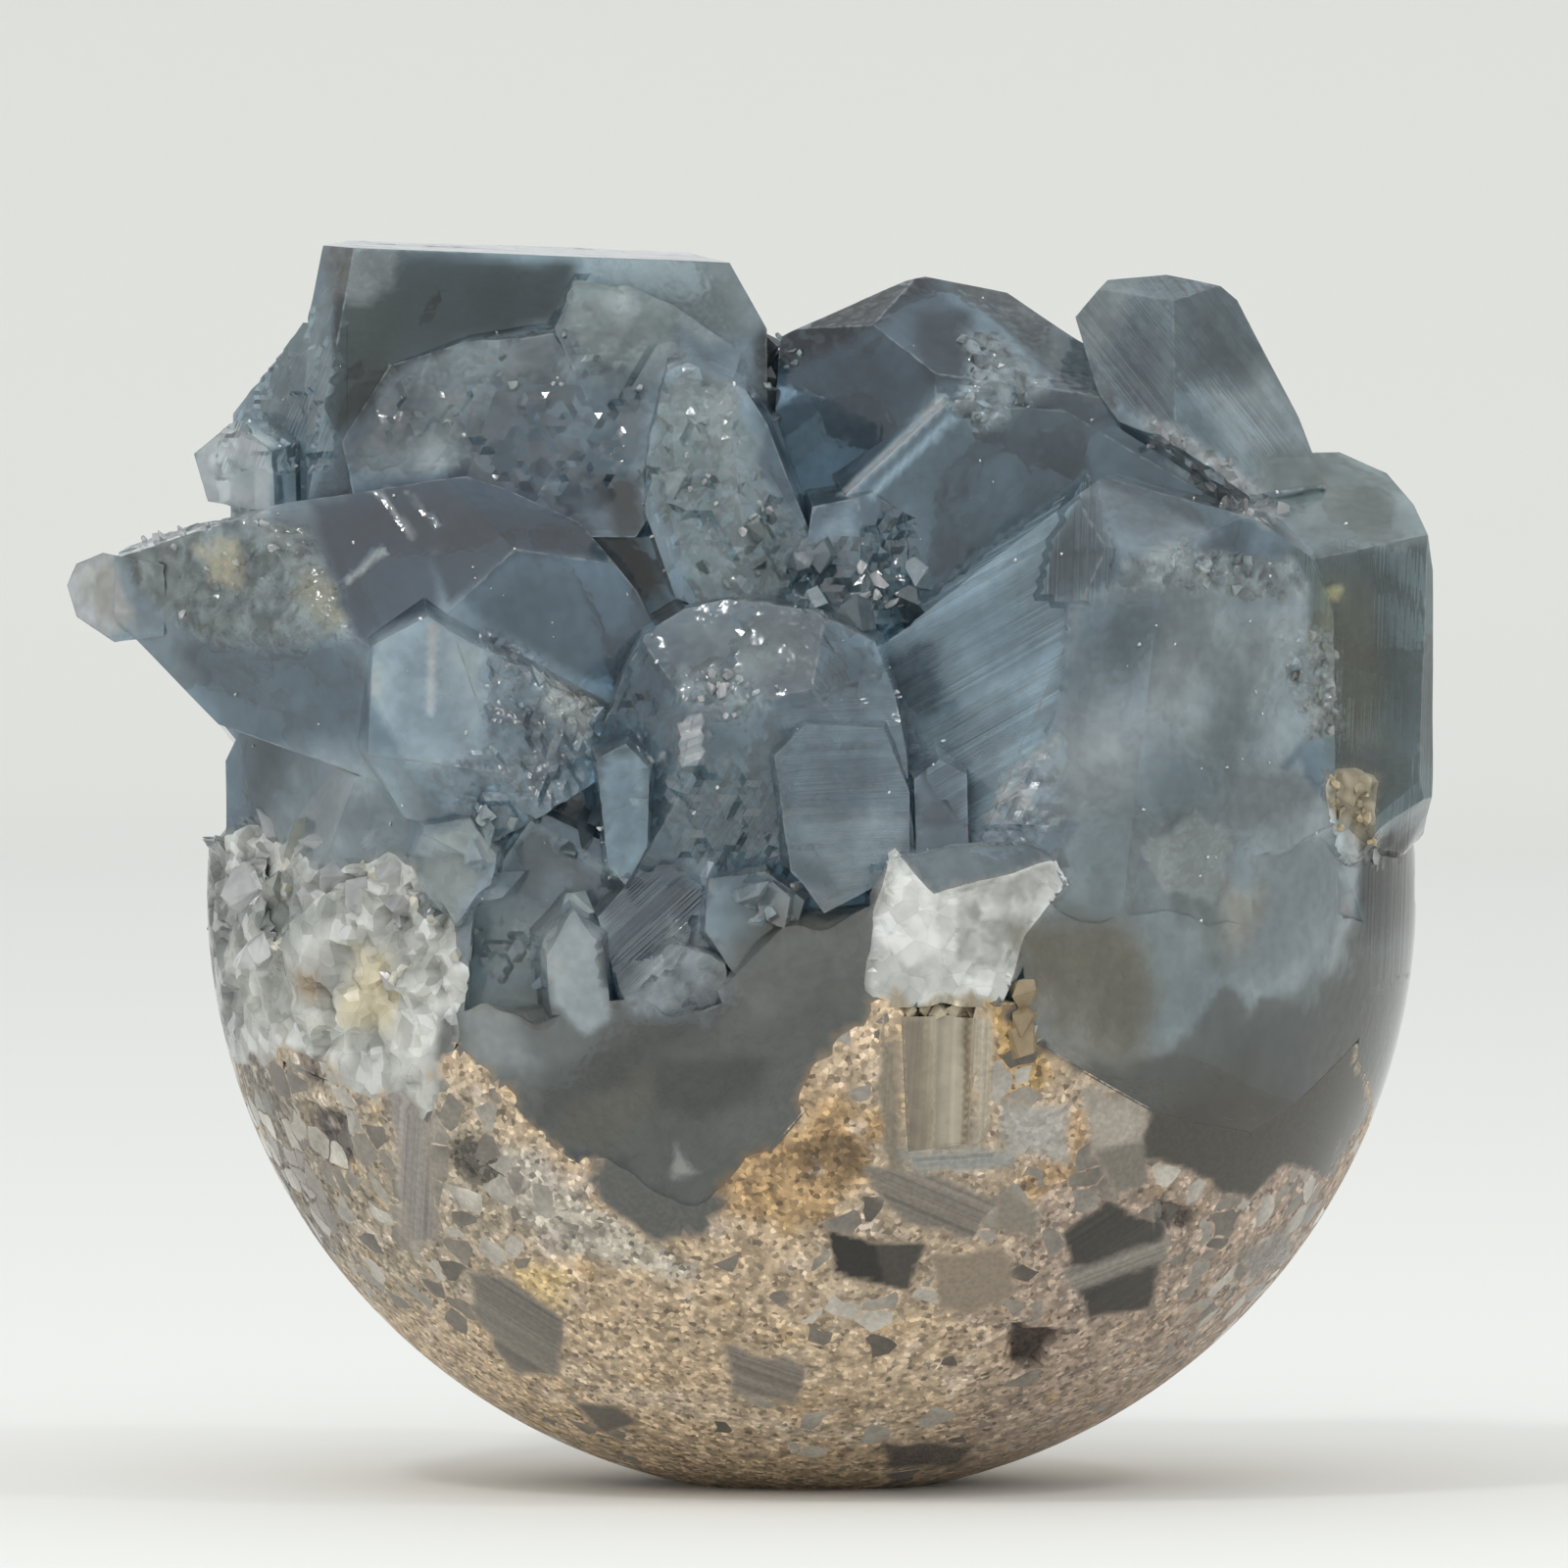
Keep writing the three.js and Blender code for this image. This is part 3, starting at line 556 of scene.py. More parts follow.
        "outline": [(26.3, 48.4), (35.4, 48.6), (35.4, 27), (31.8, 26), (30.8, 32.4), (29.3, 38.9), (28.3, 45.4)],
        "colour": (88, 98, 98), "lines": 0.25, "slant": 88,
    },
    "slab_brown": {
        "outline": [(28.8, 47.2), (31.8, 46.4), (32.3, 38.4), (30.3, 37.4), (28.6, 44.4)],
        "colour": (108, 110, 98), "soft": 1.2, "strength": 0.85,
    },
    "slab_ochre": {
        "outline": [(29.4, 37), (31.9, 37), (31.9, 32.5), (30, 32.7)],
        "colour": (142, 133, 112), "crust": 1, "rough": 0.8, "relief": 0.12, "grain": 0.7, "ragged": 0.7, "soft": 0.3,
    },
    # The slab's lower facet, painted near black as shade under the slab.
    "slab_low_shade": {
        "outline": [(30.8, 34), (35, 33.4), (34.6, 28.6), (31.4, 28.6)],
        "colour": (24, 27, 29), "soft": 0.8,
    },
    "slab_rough_edge": {
        "outline": [(26.8, 44.4), (29.6, 43.9), (30.2, 39.4), (28.3, 38.6)],
        "colour": (120, 123, 120), "rough": 0.7, "relief": 0.2, "grain": 0.9, "ragged": 0.8,
    },
    "slab_speck": {
        "outline": [(29.4, 46.3), (30, 46.5), (30.1, 46.1), (29.6, 45.9)],
        "colour": (196, 184, 140), "soft": 0.15, "ragged": 0.1,
    },
    "wedge_light_face": {
        "outline": [
            (17.3, 52.1), (16, 48.4), (15.7, 41.4), (13.8, 36.4), (11.8, 33.9), (8.8, 37.2), (6.2, 43.7), (11.8, 47.9),
        ],
        "colour": (115, 129, 136), "haze": 0.3, "lines": 0.6, "slant": 30, "soft": 0.25, "ragged": 0.15,
    },
    "wedge_dark_facet": {
        "outline": [(14.9, 46.2), (15.6, 49.4), (17.3, 52), (18.4, 48.6), (17.8, 45.7)],
        "colour": (86, 95, 99), "lines": 0.5, "slant": 88, "soft": 0.2, "ragged": 0.2,
    },
    "wedge_right_facet": {
        "outline": [(17.4, 51.9), (23.8, 49.3), (22, 47.7), (18.3, 48.4)],
        "colour": (114, 124, 130), "soft": 0.4,
    },
    "wedge_frost": {
        "outline": [(12.6, 36.9), (15.8, 39.6), (15.4, 34.9), (12.5, 33.2), (11.1, 33.7)],
        "colour": (130, 140, 146), "rough": 0.7, "relief": 0.2, "grain": 0.8, "haze": 0.6,
    },
    "wedge_holes": {
        "outline": [(7, 43.6), (9.4, 43.4), (10, 41.2), (8.4, 39.6), (7.2, 41.2)],
        "colour": (92, 102, 110), "ragged": 1.5, "soft": 0.3, "strength": 0.7,
    },
    "cloudy_face": {
        "outline": [
            (16.3, 46.4), (20.8, 48.4), (27.3, 47.4), (28.6, 44.4), (28.6, 39.4), (26.2, 36.4), (30.9, 33.4),
            (30.7, 26.6), (28.3, 24.9), (24.3, 26.4), (20.8, 22.6), (14.3, 22.9), (13.8, 31.4), (15.8, 38.9),
        ],
        "colour": (124, 132, 134), "haze": 1.0, "soft": 0.3, "ragged": 1.0, "rough": 0.12,
    },
    "cloudy_shade": {
        "outline": [(16.3, 46.2), (20.8, 46.2), (20, 41.4), (17.3, 38.6), (15.9, 41.4)],
        "colour": (98, 112, 119), "soft": 1.2, "haze": -0.3, "strength": 0.85,
    },
    "cloudy_shade_low": {
        "outline": [(20.5, 37.9), (25, 41.5), (26, 38.5), (23, 35.2), (19.8, 34.6)],
        "colour": (104, 114, 118), "soft": 1.6, "haze": -0.2, "strength": 0.7,
    },
    "cloudy_pale": {
        "outline": [(17.6, 41.4), (21.6, 43), (22.6, 40.4), (18.6, 36.8), (16.6, 35.6), (15.6, 38.4)],
        "colour": (148, 155, 158), "soft": 1.8, "haze": 0.4, "strength": 0.85,
    },
    "cloudy_crest": {
        "outline": [(18.6, 48), (22, 48.6), (27.4, 47.6), (28.2, 46), (23, 46.2), (19, 46.6)],
        "colour": (128, 134, 134), "rough": 0.5, "relief": 0.16, "grain": 0.9, "soft": 0.4,
    },
    "lobe": {
        "outline": [
            (22.6, 33), (26, 37), (28, 37.6), (30.4, 34.4), (31.2, 30.6), (30.2, 27.4), (28.4, 25.6), (26.6, 27),
            (25.4, 24.8), (24.2, 27.6), (22.4, 29),
        ],
        "colour": (128, 135, 137), "haze": 0.6, "soft": 0.12, "ragged": 0.8, "strength": 0.8,
    },
    "lobe_streak": {
        "outline": [(20.4, 35.4), (22, 36), (23.6, 31.6), (24.6, 27.4), (23, 27.2), (21.6, 31.4)],
        "colour": (104, 109, 107), "soft": 0.5, "ragged": 1.2, "strength": 0.7,
    },
    "cloudy_tuft": {
        "outline": [(20, 33.2), (22.6, 35.6), (24.6, 34), (24.2, 31.4), (21.6, 30.6)],
        "colour": (144, 148, 147), "haze": 0.5, "soft": 0.2, "ragged": 1.4, "rough": 0.4, "strength": 0.8,
    },
    "lobe_rim": {
        "outline": [(30.2, 34), (30.9, 33.6), (31.1, 29.6), (30.2, 27.4), (28.6, 25.4), (29.6, 28), (30.4, 31)],
        "colour": (152, 157, 157), "soft": 0.4, "haze": 0.5, "strength": 0.7,
    },
    "lobe_brown": {
        "outline": [(23.8, 31.4), (25.8, 31.4), (25.4, 28.4), (24, 28.4)],
        "colour": (134, 128, 116), "soft": 0.8, "ragged": 0.9, "strength": 0.8,
    },
    "finger": {
        "outline": [
            (-3.3, 57.6), (-0.8, 57), (0.8, 52.4), (3.3, 47.9), (2.8, 46.2), (-2.3, 44.7), (-3.8, 48.4), (-5.5, 52.4),
            (-4.5, 56.6),
        ],
        "colour": (104, 112, 113), "haze": 0.3, "rough": 0.24, "relief": 0.3, "grain": 2.4, "soft": 0.3,
    },
    "finger_head": {
        "outline": [(-3.8, 56.6), (-0.9, 56.6), (0.1, 53.9), (-1.3, 52.6), (-3.6, 53)],
        "colour": (118, 125, 124), "soft": 0.8, "haze": 0.4,
    },
    # Painted shade in the crevice beside the finger.
    "finger_crevice_shade": {
        "outline": [(-8, 52), (-5.6, 52.2), (-5, 47.9), (-3.6, 44.6), (-6, 46.2)],
        "colour": (46, 55, 59), "soft": 0.5, "ragged": 0.4,
    },
    "rim_crystals": {
        "outline": [(1.8, 47.6), (8.3, 50.4), (8.3, 44.7), (2.8, 44.7)],
        "colour": (88, 98, 102), "rough": 0.3, "relief": 0.3, "grain": 1.2,
    },
    "dome": {
        "outline": [
            (-7.9, 38.4), (-6.5, 43.6), (-3.3, 45.6), (1.8, 46.1), (6, 43.9), (8.3, 38.4), (8.3, 33.4), (4.8, 31.2),
            (-3.3, 32.2), (-7.3, 32.4),
        ],
        "colour": (88, 99, 105), "haze": 0.2, "relief": 0.1, "grain": 2.2, "rough": 0.1,
    },
    "dome_left": {
        "outline": [(-7.9, 38.2), (-6.5, 43.6), (-3.3, 45.4), (-3.6, 42), (-5.6, 38.6)],
        "colour": (76, 88, 96), "soft": 0.6,
    },
    "dome_pale": {
        "outline": [(-2, 44.4), (1.6, 44.8), (2.6, 42.8), (-0.6, 42)],
        "colour": (112, 122, 124), "soft": 0.9, "haze": 0.5, "strength": 0.7,
    },
    "dome_veil": {
        "outline": [(-3.4, 42.6), (-1.6, 42.8), (1.2, 40.6), (-0.6, 40), (-3, 40.6)],
        "colour": (110, 119, 122), "rough": 0.6, "relief": 0.2, "grain": 0.8, "ragged": 0.9,
    },
    "sliver": {
        "outline": [(-7.5, 37.9), (-5.3, 38.4), (-5, 33.6), (-6.3, 31.8), (-7.3, 32.9)],
        "colour": (112, 127, 135), "haze": 0.5, "soft": 0.25, "ragged": 0.2,
    },
    "dark_heart": {
        "outline": [(-4.4, 37.2), (-1, 38.6), (1.6, 36), (1.4, 32.4), (-3.2, 32.2)],
        "colour": (103, 114, 119), "relief": 0.25, "grain": 1.5, "soft": 0.5, "lines": 0.3, "slant": 60,
    },
    "step": {
        "outline": [(1.8, 40.4), (6.8, 41.9), (8.4, 38.4), (8.2, 33.4), (4.8, 31.2), (2.8, 34.4)],
        "colour": (100, 112, 119), "lines": 0.35, "slant": 3, "haze": 0.3,
    },
    "step_low": {
        "outline": [(2.6, 34.8), (5, 35.4), (8.3, 34.9), (8.2, 33.4), (4.8, 31.2), (2.8, 33.4)],
        "colour": (124, 135, 140), "soft": 0.9, "haze": 0.3,
    },
    "glint": {
        "outline": [(-3.6, 39.9), (-2.3, 40.4), (-2.2, 37.9), (-3.5, 37.6)],
        "colour": (176, 182, 184), "lines": 1.0, "slant": 20, "soft": 0.15, "ragged": 0.2,
    },
    "dark_prism": {
        "outline": [(8.5, 38), (11, 37.9), (11, 32.9), (9.3, 32.2), (8.3, 33.7)],
        "colour": (96, 105, 112), "soft": 0.3, "ragged": 0.2,
    },
    "window": {
        "outline": [(-11.3, 34.9), (-8.3, 33.6), (-6.3, 31.4), (-7.3, 28.4), (-11.3, 26.9), (-14.3, 28.4), (-14.8, 30.4)],
        "colour": (122, 130, 135), "haze": 0.3,
    },
    "window_cloud": {
        "outline": [(-13.4, 28.9), (-9.4, 31), (-9, 28.6), (-11.5, 26.6), (-13.6, 27.4)],
        "colour": (122, 127, 127), "haze": 0.8, "soft": 0.7, "ragged": 0.9, "relief": 0.2, "grain": 1.2,
    },
    # Thin painted highlights along the window's edges.
    "window_frame_highlight_left": {
        "outline": [(-14.6, 30.6), (-14.2, 30.3), (-10.8, 34.6), (-11.1, 34.9)],
        "colour": (134, 145, 152), "soft": 0.15, "ragged": 0.1, "relief": 0.1,
    },
    "window_frame_highlight_right": {
        "outline": [(-11.1, 34.9), (-10.9, 34.4), (-6.8, 31.8), (-6.5, 32.2)],
        "colour": (138, 149, 156), "soft": 0.15, "ragged": 0.1, "relief": 0.1,
    },
    "whitish_chip": {
        "outline": [(-10.4, 28.2), (-8.8, 30), (-7, 28.6), (-7.1, 24.9), (-8.3, 24), (-9.9, 25.7)],
        "colour": (138, 143, 145), "haze": 0.6, "relief": 0.25, "grain": 1.4, "soft": 0.25, "ragged": 0.2,
    },
    "lined_prism": {
        "outline": [(-7.4, 31.4), (-4.3, 32.5), (-2.2, 31.4), (-3.8, 27.4), (-6.6, 26.2), (-7.3, 28.4)],
        "colour": (92, 99, 105), "lines": 1.0, "slant": 42, "soft": 0.3,
    },
    "flake": {
        "outline": [(-6.5, 26), (-3.8, 29.9), (-1.2, 28.9), (-0.9, 26.4), (-2.3, 24.7), (-5.8, 25)],
        "colour": (119, 124, 127), "haze": 0.8, "rough": 0.5, "relief": 0.15, "grain": 0.9, "soft": 0.3,
    },
    "white_cleavage": {
        "outline": [
            (5.8, 26.2), (6.1, 29.9), (7.1, 33.5), (8.3, 32.4), (9.3, 31.4), (15.6, 33), (15.9, 31.9), (13.8, 28.9),
            (12.9, 26.2), (9.8, 25.6),
        ],
        "colour": (186, 188, 183), "crust": 1, "relief": 0.3, "grain": 3.6, "soft": 0.15, "ragged": 0.3, "rough": 0.3,
        "bare": 1,
    },
    "cleavage_left": {
        "outline": [(6.1, 29.4), (7.1, 33.5), (8.3, 32.4), (9.2, 31.4), (9.6, 28.6), (8, 27.6)],
        "colour": (206, 208, 204), "soft": 0.12, "ragged": 0.2,
    },
    "above_cleavage": {
        "outline": [(7.2, 33.4), (8, 34.6), (16.4, 34.8), (15.6, 33.1), (9.3, 31.5), (8.3, 32.5)],
        "colour": (106, 117, 124), "haze": 0.5, "soft": 0.12, "ragged": 0.3,
    },
    "cleavage_right": {
        "outline": [(10.6, 31.4), (15.4, 32.8), (13.7, 29), (12.4, 27.6), (10.4, 28)],
        "colour": (166, 168, 163), "soft": 0.15, "ragged": 0.2, "rough": -0.35, "relief": 0.02,
    },
    "column": {
        "outline": [
            (6.6, 25.4), (7.4, 26.6), (8.3, 25.4), (9.3, 26.2), (10.3, 25.3), (11.2, 26.6), (12.2, 25.4), (12.2, 18.4),
            (10.8, 16.8), (6.9, 16.8), (6.3, 20),
        ],
        "colour": (150, 139, 119), "crust": 1, "soft": 0.15, "ragged": 0.3, "lines": 0.5, "slant": 86, "bare": 1,
    },
    "column_left": {
        "outline": [(6.8, 24.6), (8.9, 25.2), (8.9, 17.4), (7.3, 17), (6.7, 20.4)],
        "colour": (126, 117, 102), "soft": 0.15, "ragged": 0.15,
    },
    "column_middle": {
        "outline": [(9.2, 26.2), (10.8, 26.2), (10.7, 17.8), (9.4, 17.4)],
        "colour": (160, 151, 134), "soft": 0.12, "ragged": 0.15, "lines": 0.8, "slant": 88,
    },
    "column_gap": {
        "outline": [(10.8, 25.6), (11.1, 25.6), (11, 18.8), (10.7, 18.4)],
        "colour": (104, 90, 68), "soft": 0.12, "ragged": 0.2,
    },
    "root_left": {
        "outline": [
            (-15.8, 25), (-11, 26.6), (-8, 23.6), (-1, 24.4), (2, 30), (6, 30), (6, 22), (-0.4, 13.4), (-3.6, 11.8),
            (-12, 16.6), (-15.8, 21),
        ],
        "colour": (102, 104, 101), "soft": 0.4, "ragged": 0.3,
    },
    "root_left_plane": {
        "outline": [(-8.3, 22.4), (-4.7, 25), (-4.7, 20.6), (-7.3, 18.3), (-9.8, 18.8)],
        "colour": (104, 103, 96), "soft": 0.12, "ragged": 0.1,
    },
    "root_left_dark": {
        "outline": [(-4.7, 22.9), (0.9, 22.9), (0.1, 20.9), (-2.4, 19.9), (-4.7, 20.6)],
        "colour": (86, 88, 86), "soft": 0.35, "ragged": 0.2,
    },
    "root_left_low_dark": {
        "outline": [(-9.3, 18.3), (-6.2, 17.8), (-5.2, 15.8), (-7.5, 15.3)],
        "colour": (84, 89, 90), "soft": 0.2, "ragged": 0.3,
    },
    "root_left_band": {
        "outline": [(-10.4, 22.4), (-6.5, 23.6), (0.6, 27.6), (0.2, 26), (-5.6, 22.2), (-10.6, 19.6)],
        "colour": (84, 86, 85), "soft": 0.7, "ragged": 0.5, "strength": 0.8,
    },
    "root_left_bit": {
        "outline": [(-3.7, 18.4), (-2.6, 17.1), (-4.0, 16.9)],
        "colour": (142, 144, 141), "soft": 0.1, "ragged": 0.1,
    },
    "root_left_cloud": {
        "outline": [(0.6, 31.2), (5.6, 31), (5.8, 26), (1, 25.4), (-1.6, 27)],
        "colour": (108, 109, 105), "soft": 1.2, "ragged": 0.8, "haze": 0.5,
    },
    "root_left_pale": {
        "outline": [(-14.6, 27), (-11.6, 26), (-11, 22.6), (-14.6, 22)],
        "colour": (122, 124, 121), "soft": 0.9, "ragged": 1.0, "haze": 0.5,
    },
    "root_right": {
        "outline": [(13, 30), (16, 23), (22, 23), (30, 27), (35.4, 28), (34, 18), (25, 14.6), (19, 18)],
        "colour": (94, 95, 91), "soft": 1.0, "ragged": 0.8,
    },
    "root_right_brown": {
        "outline": [(13.4, 29.6), (18.4, 30), (20.8, 26.4), (19.6, 22.6), (15.4, 22.6)],
        "colour": (112, 106, 92), "soft": 1.2, "ragged": 0.9, "haze": 0.4, "strength": 0.95,
    },
    "root_right_shade": {
        "outline": [(20.6, 20.6), (25, 22.4), (28, 19.6), (25.6, 15.8), (21.4, 17.4)],
        "colour": (92, 88, 79), "soft": 1.2, "ragged": 0.8,
    },
}

# The matrix: crystals and shards ground flush in the sand, stains, and small hollows (pit, in mm).
MATRIX_MARKS = {
    "bits_right": {
        "outline": [(6, 22), (14, 23), (22, 19), (32, 20), (30, 12), (22, 7), (12, 10), (4, 10)],
        "colour": (176, 158, 136), "soft": 2.0, "strength": 0.8, "bits": 0.42,
    },
    "bits_left": {
        "outline": [(-27, 25), (-14, 21), (-11, 17), (-9, 14), (-14, 10), (-20, 9), (-26, 16)],
        "colour": (168, 156, 138), "soft": 2.0, "strength": 0.8, "bits": 0.28,
    },
    "pink_right": {
        "outline": [(14, 17), (24, 19), (34, 22), (34, 10), (22, 1), (10, 1)],
        "colour": (166, 147, 134), "soft": 3.0, "ragged": 1.5, "strength": 0.7,
    },
    "ochre_peak": {
        "outline": [(-2.3, 16), (0.3, 18.6), (4.6, 21.4), (6.6, 20), (6.2, 17), (2, 13.6)],
        "colour": (174, 140, 94), "soft": 0.7, "ragged": 1.6, "strength": 0.75,
    },
    "dark_vein": {
        "outline": [(1.2, 18.2), (4, 19.2), (6.4, 18), (5.8, 16.9), (2.6, 17)],
        "colour": (92, 72, 48), "ragged": 1.0, "soft": 0.4, "strength": 0.65, "pit": 0.2,
    },
    "ochre_rim": {
        "outline": [(12.2, 26.6), (13.4, 26), (15.2, 22.4), (13.8, 20.6), (12.2, 21)],
        "colour": (182, 150, 98), "ragged": 0.8, "strength": 0.9, "grit": 1,
    },
    "ochre_spot_right": {
        "outline": [(14, 18.8), (18.8, 22.8), (20.4, 21.8), (16.4, 16.4), (14.3, 16.4)],
        "colour": (170, 134, 88), "ragged": 1.3, "strength": 0.55,
    },
    "ochre_spot_left": {
        "outline": [(-12, 12.8), (-9.6, 12.4), (-9.4, 10.2), (-11.5, 10.4)],
        "colour": (222, 196, 142), "ragged": 1.0, "strength": 0.7,
    },
    "pale_shore": {
        "outline": [(-13.4, 18.6), (-10.3, 17.6), (-5.6, 13.9), (-2.6, 12.4), (-3.6, 11.2), (-9.3, 13.2), (-13.6, 16)],
        "colour": (184, 178, 166), "ragged": 0.9, "strength": 0.85,
    },
    "left_rim_grey": {
        "outline": [(-27.6, 25), (-25.6, 25), (-20.4, 12.6), (-22, 10.4), (-25.6, 16.6)],
        "colour": (114, 109, 102), "soft": 0.8, "ragged": 1.0, "strength": 0.8,
    },
    "root_right_low": {
        "outline": [
            (12.7, 25.4), (16.4, 22.3), (19.8, 22.2), (19.9, 17.9), (21.9, 17.2), (23.7, 15.8), (25.6, 15.6),
            (27.2, 17), (29.5, 16.3), (30.6, 17.9), (32.5, 19.9), (34.4, 21.5), (35, 28), (20, 30),
        ],
        "colour": (70, 68, 61), "flush": 1, "soft": 0.2, "ragged": 0.6, "bits": -1,
    },
    "root_left_low": {
        "outline": [(-8.6, 17), (-6.6, 15), (-4.7, 13.6), (-2.2, 13.9), (-0.4, 16.9), (1.2, 19.4), (-3, 18.5)],
        "colour": (92, 93, 90), "flush": 1, "soft": 0.2, "ragged": 0.5, "bits": -1,
    },
    "column_left_side": {
        "outline": [(6.7, 24.2), (7.8, 25), (7.8, 17.4), (7.2, 16.8), (6.5, 20)],
        "colour": (130, 121, 105), "flush": 1, "soft": 0.15, "ragged": 0.3, "lines": 0.4, "slant": 86,
    },
    "column_right_side": {
        "outline": [(11.1, 25.9), (12.2, 25.6), (12.2, 19.4), (11, 17.8)],
        "colour": (170, 160, 142), "flush": 1, "soft": 0.15, "ragged": 0.3, "lines": 0.5, "slant": 88,
    },
    # Small pits, also painted dark as shade in the hollows.
    "left_pocket_shade": {
        "outline": [(-22.7, 20.2), (-20.6, 19.8), (-20.1, 16.6), (-22, 17.2)],
        "colour": (88, 82, 76), "ragged": 0.4, "pit": 0.35,
    },
    "left_pocket_high_shade": {
        "outline": [(-23, 22.8), (-21.6, 22.6), (-21.4, 20.9), (-22.6, 21)],
        "colour": (96, 88, 82), "ragged": 0.5, "pit": 0.25,
    },
    "left_streaks": {
        "outline": [(-18.4, 21.8), (-16.1, 21.8), (-15.9, 13.2), (-17.6, 13)],
        "colour": (142, 136, 130), "lines": 1.0, "slant": 86, "ragged": 0.4, "flush": 1,
    },
    "left_geode": {
        "outline": [(-15, 19), (-12.6, 18.4), (-12.8, 15.8), (-14.8, 16.2)],
        "colour": (98, 94, 86), "ragged": 0.5, "pit": 0.3, "rough": 1.0,
    },
    "shard_dark": {
        "outline": [(4, 14.3), (6, 13.7), (8.9, 13.4), (8, 11.1), (4.3, 11.9)],
        "colour": (44, 41, 38), "flush": 1, "ragged": 0.15, "soft": 0.12,
    },
    "shard_dark_side": {
        "outline": [(6.4, 13.5), (9, 13.4), (8, 11.1), (6.9, 11.4)],
        "colour": (70, 66, 60), "flush": 1, "ragged": 0.15, "soft": 0.12,
    },
    "shard_layered": {
        "outline": [(5.6, 17.6), (9.3, 17.2), (12.6, 15.6), (11.4, 13.9), (7.6, 14.7)],
        "colour": (124, 117, 108), "flush": 1, "lines": 1.0, "slant": -24, "ragged": 0.4, "soft": 0.15,
    },
    "shard_bar": {
        "outline": [(7.6, 18.6), (13.4, 18.4), (13.2, 17.4), (8.4, 17.3)],
        "colour": (150, 150, 145), "flush": 1, "lines": 0.8, "slant": 3, "ragged": 0.3, "soft": 0.15,
    },
    "shard_left": {
        "outline": [(-14.4, 11.6), (-11.8, 11.4), (-9.4, 9.4), (-9.7, 6.3), (-11.8, 6.2), (-13.9, 9.2)],
        "colour": (120, 114, 106), "flush": 1, "lines": 1.0, "slant": -32, "ragged": 0.4, "soft": 0.15,
    },
    "shard_middle": {
        "outline": [(-1.1, 8.4), (1, 7.5), (2.9, 7), (2.4, 5.1), (-0.9, 5.3)],
        "colour": (128, 120, 112), "flush": 1, "lines": 0.8, "slant": -20, "ragged": 0.4, "soft": 0.15,
    },
    "shard_low_left": {
        "outline": [(-8.9, 4.8), (-6.8, 4.7), (-5.7, 3.9), (-7.4, 3.1)],
        "colour": (100, 94, 88), "flush": 1, "ragged": 0.2, "soft": 0.15,
    },
    "shard_right": {
        "outline": [(15.9, 13.9), (18, 15.6), (21.2, 14.2), (20.5, 9.8), (17.2, 9.3)],
        "colour": (62, 58, 52), "flush": 1, "lines": 0.9, "slant": 32, "ragged": 0.35, "soft": 0.15,
    },
    "shard_right_light": {
        "outline": [(16, 12), (21.4, 13.6), (21.4, 12.4), (16.6, 10.8)],
        "colour": (132, 126, 117), "flush": 1, "lines": 0.9, "slant": 20, "ragged": 0.35, "soft": 0.2,
    },
    "shard_pale": {
        "outline": [(16.6, 21.6), (19.9, 21.2), (20, 18.4), (17.3, 17.8)],
        "colour": (164, 156, 144), "flush": 0.8, "ragged": 0.4, "soft": 0.2,
    },
    "shard_pale_left": {
        "outline": [(12.8, 20.6), (16.2, 20.6), (16, 17.6), (13, 18)],
        "colour": (168, 164, 156), "flush": 0.7, "ragged": 0.6, "lines": 0.4, "slant": 30,
    },
    "shard_grey_corner": {
        "outline": [(17.4, 18.2), (20, 18.6), (20.2, 16.4), (18.4, 15.8)],
        "colour": (122, 116, 106), "flush": 1, "ragged": 0.2, "soft": 0.15,
    },
    "shard_beige": {
        "outline": [(9.3, 12.9), (12.8, 13.2), (13.6, 11), (11.3, 9.7), (9.5, 10.5)],
        "colour": (142, 129, 112), "flush": 1, "ragged": 0.3, "soft": 0.15,
    },
    "shard_wedge": {
        "outline": [(12.6, 16.4), (14.8, 15.2), (14.4, 13.6), (12.4, 14.2)],
        "colour": (134, 126, 114), "flush": 1, "ragged": 0.3, "soft": 0.15,
    },
    # Small hollows, also painted dark as shade inside them.
    "hollow_right_shade": {
        "outline": [(12.9, 9.2), (15.9, 8.7), (14.9, 6.3), (13.3, 6.8)],
        "colour": (62, 52, 46), "ragged": 0.8, "pit": 0.5, "soft": 0.25,
    },
    "hollow_small_shade": {
        "outline": [(20.7, 15.4), (22.6, 15), (22.4, 13.9), (20.8, 14)],
        "colour": (84, 76, 70), "ragged": 0.3, "pit": 0.4, "soft": 0.2,
    },
    "shard_bottom": {
        "outline": [(6.7, 2.9), (11.4, 2.5), (10.9, 1.2), (7.2, 1.4)],
        "colour": (84, 77, 70), "flush": 0.8, "ragged": 0.4, "soft": 0.2,
    },
    "shard_far_right": {
        "outline": [(25, 12.4), (27.6, 13.6), (27.8, 12), (25.8, 10.8)],
        "colour": (122, 112, 102), "flush": 0.8, "ragged": 0.4, "soft": 0.2,
    },
}
SAND = (196, 174, 146)
PALE_SAND = (214, 199, 180)
# The share of crystal bits in the sand away from the front, and how their outlines wander, in mm.
BIT_SHARE = 0.3
SWIRL = 0.3
SWIRL_SIZE = 1.1

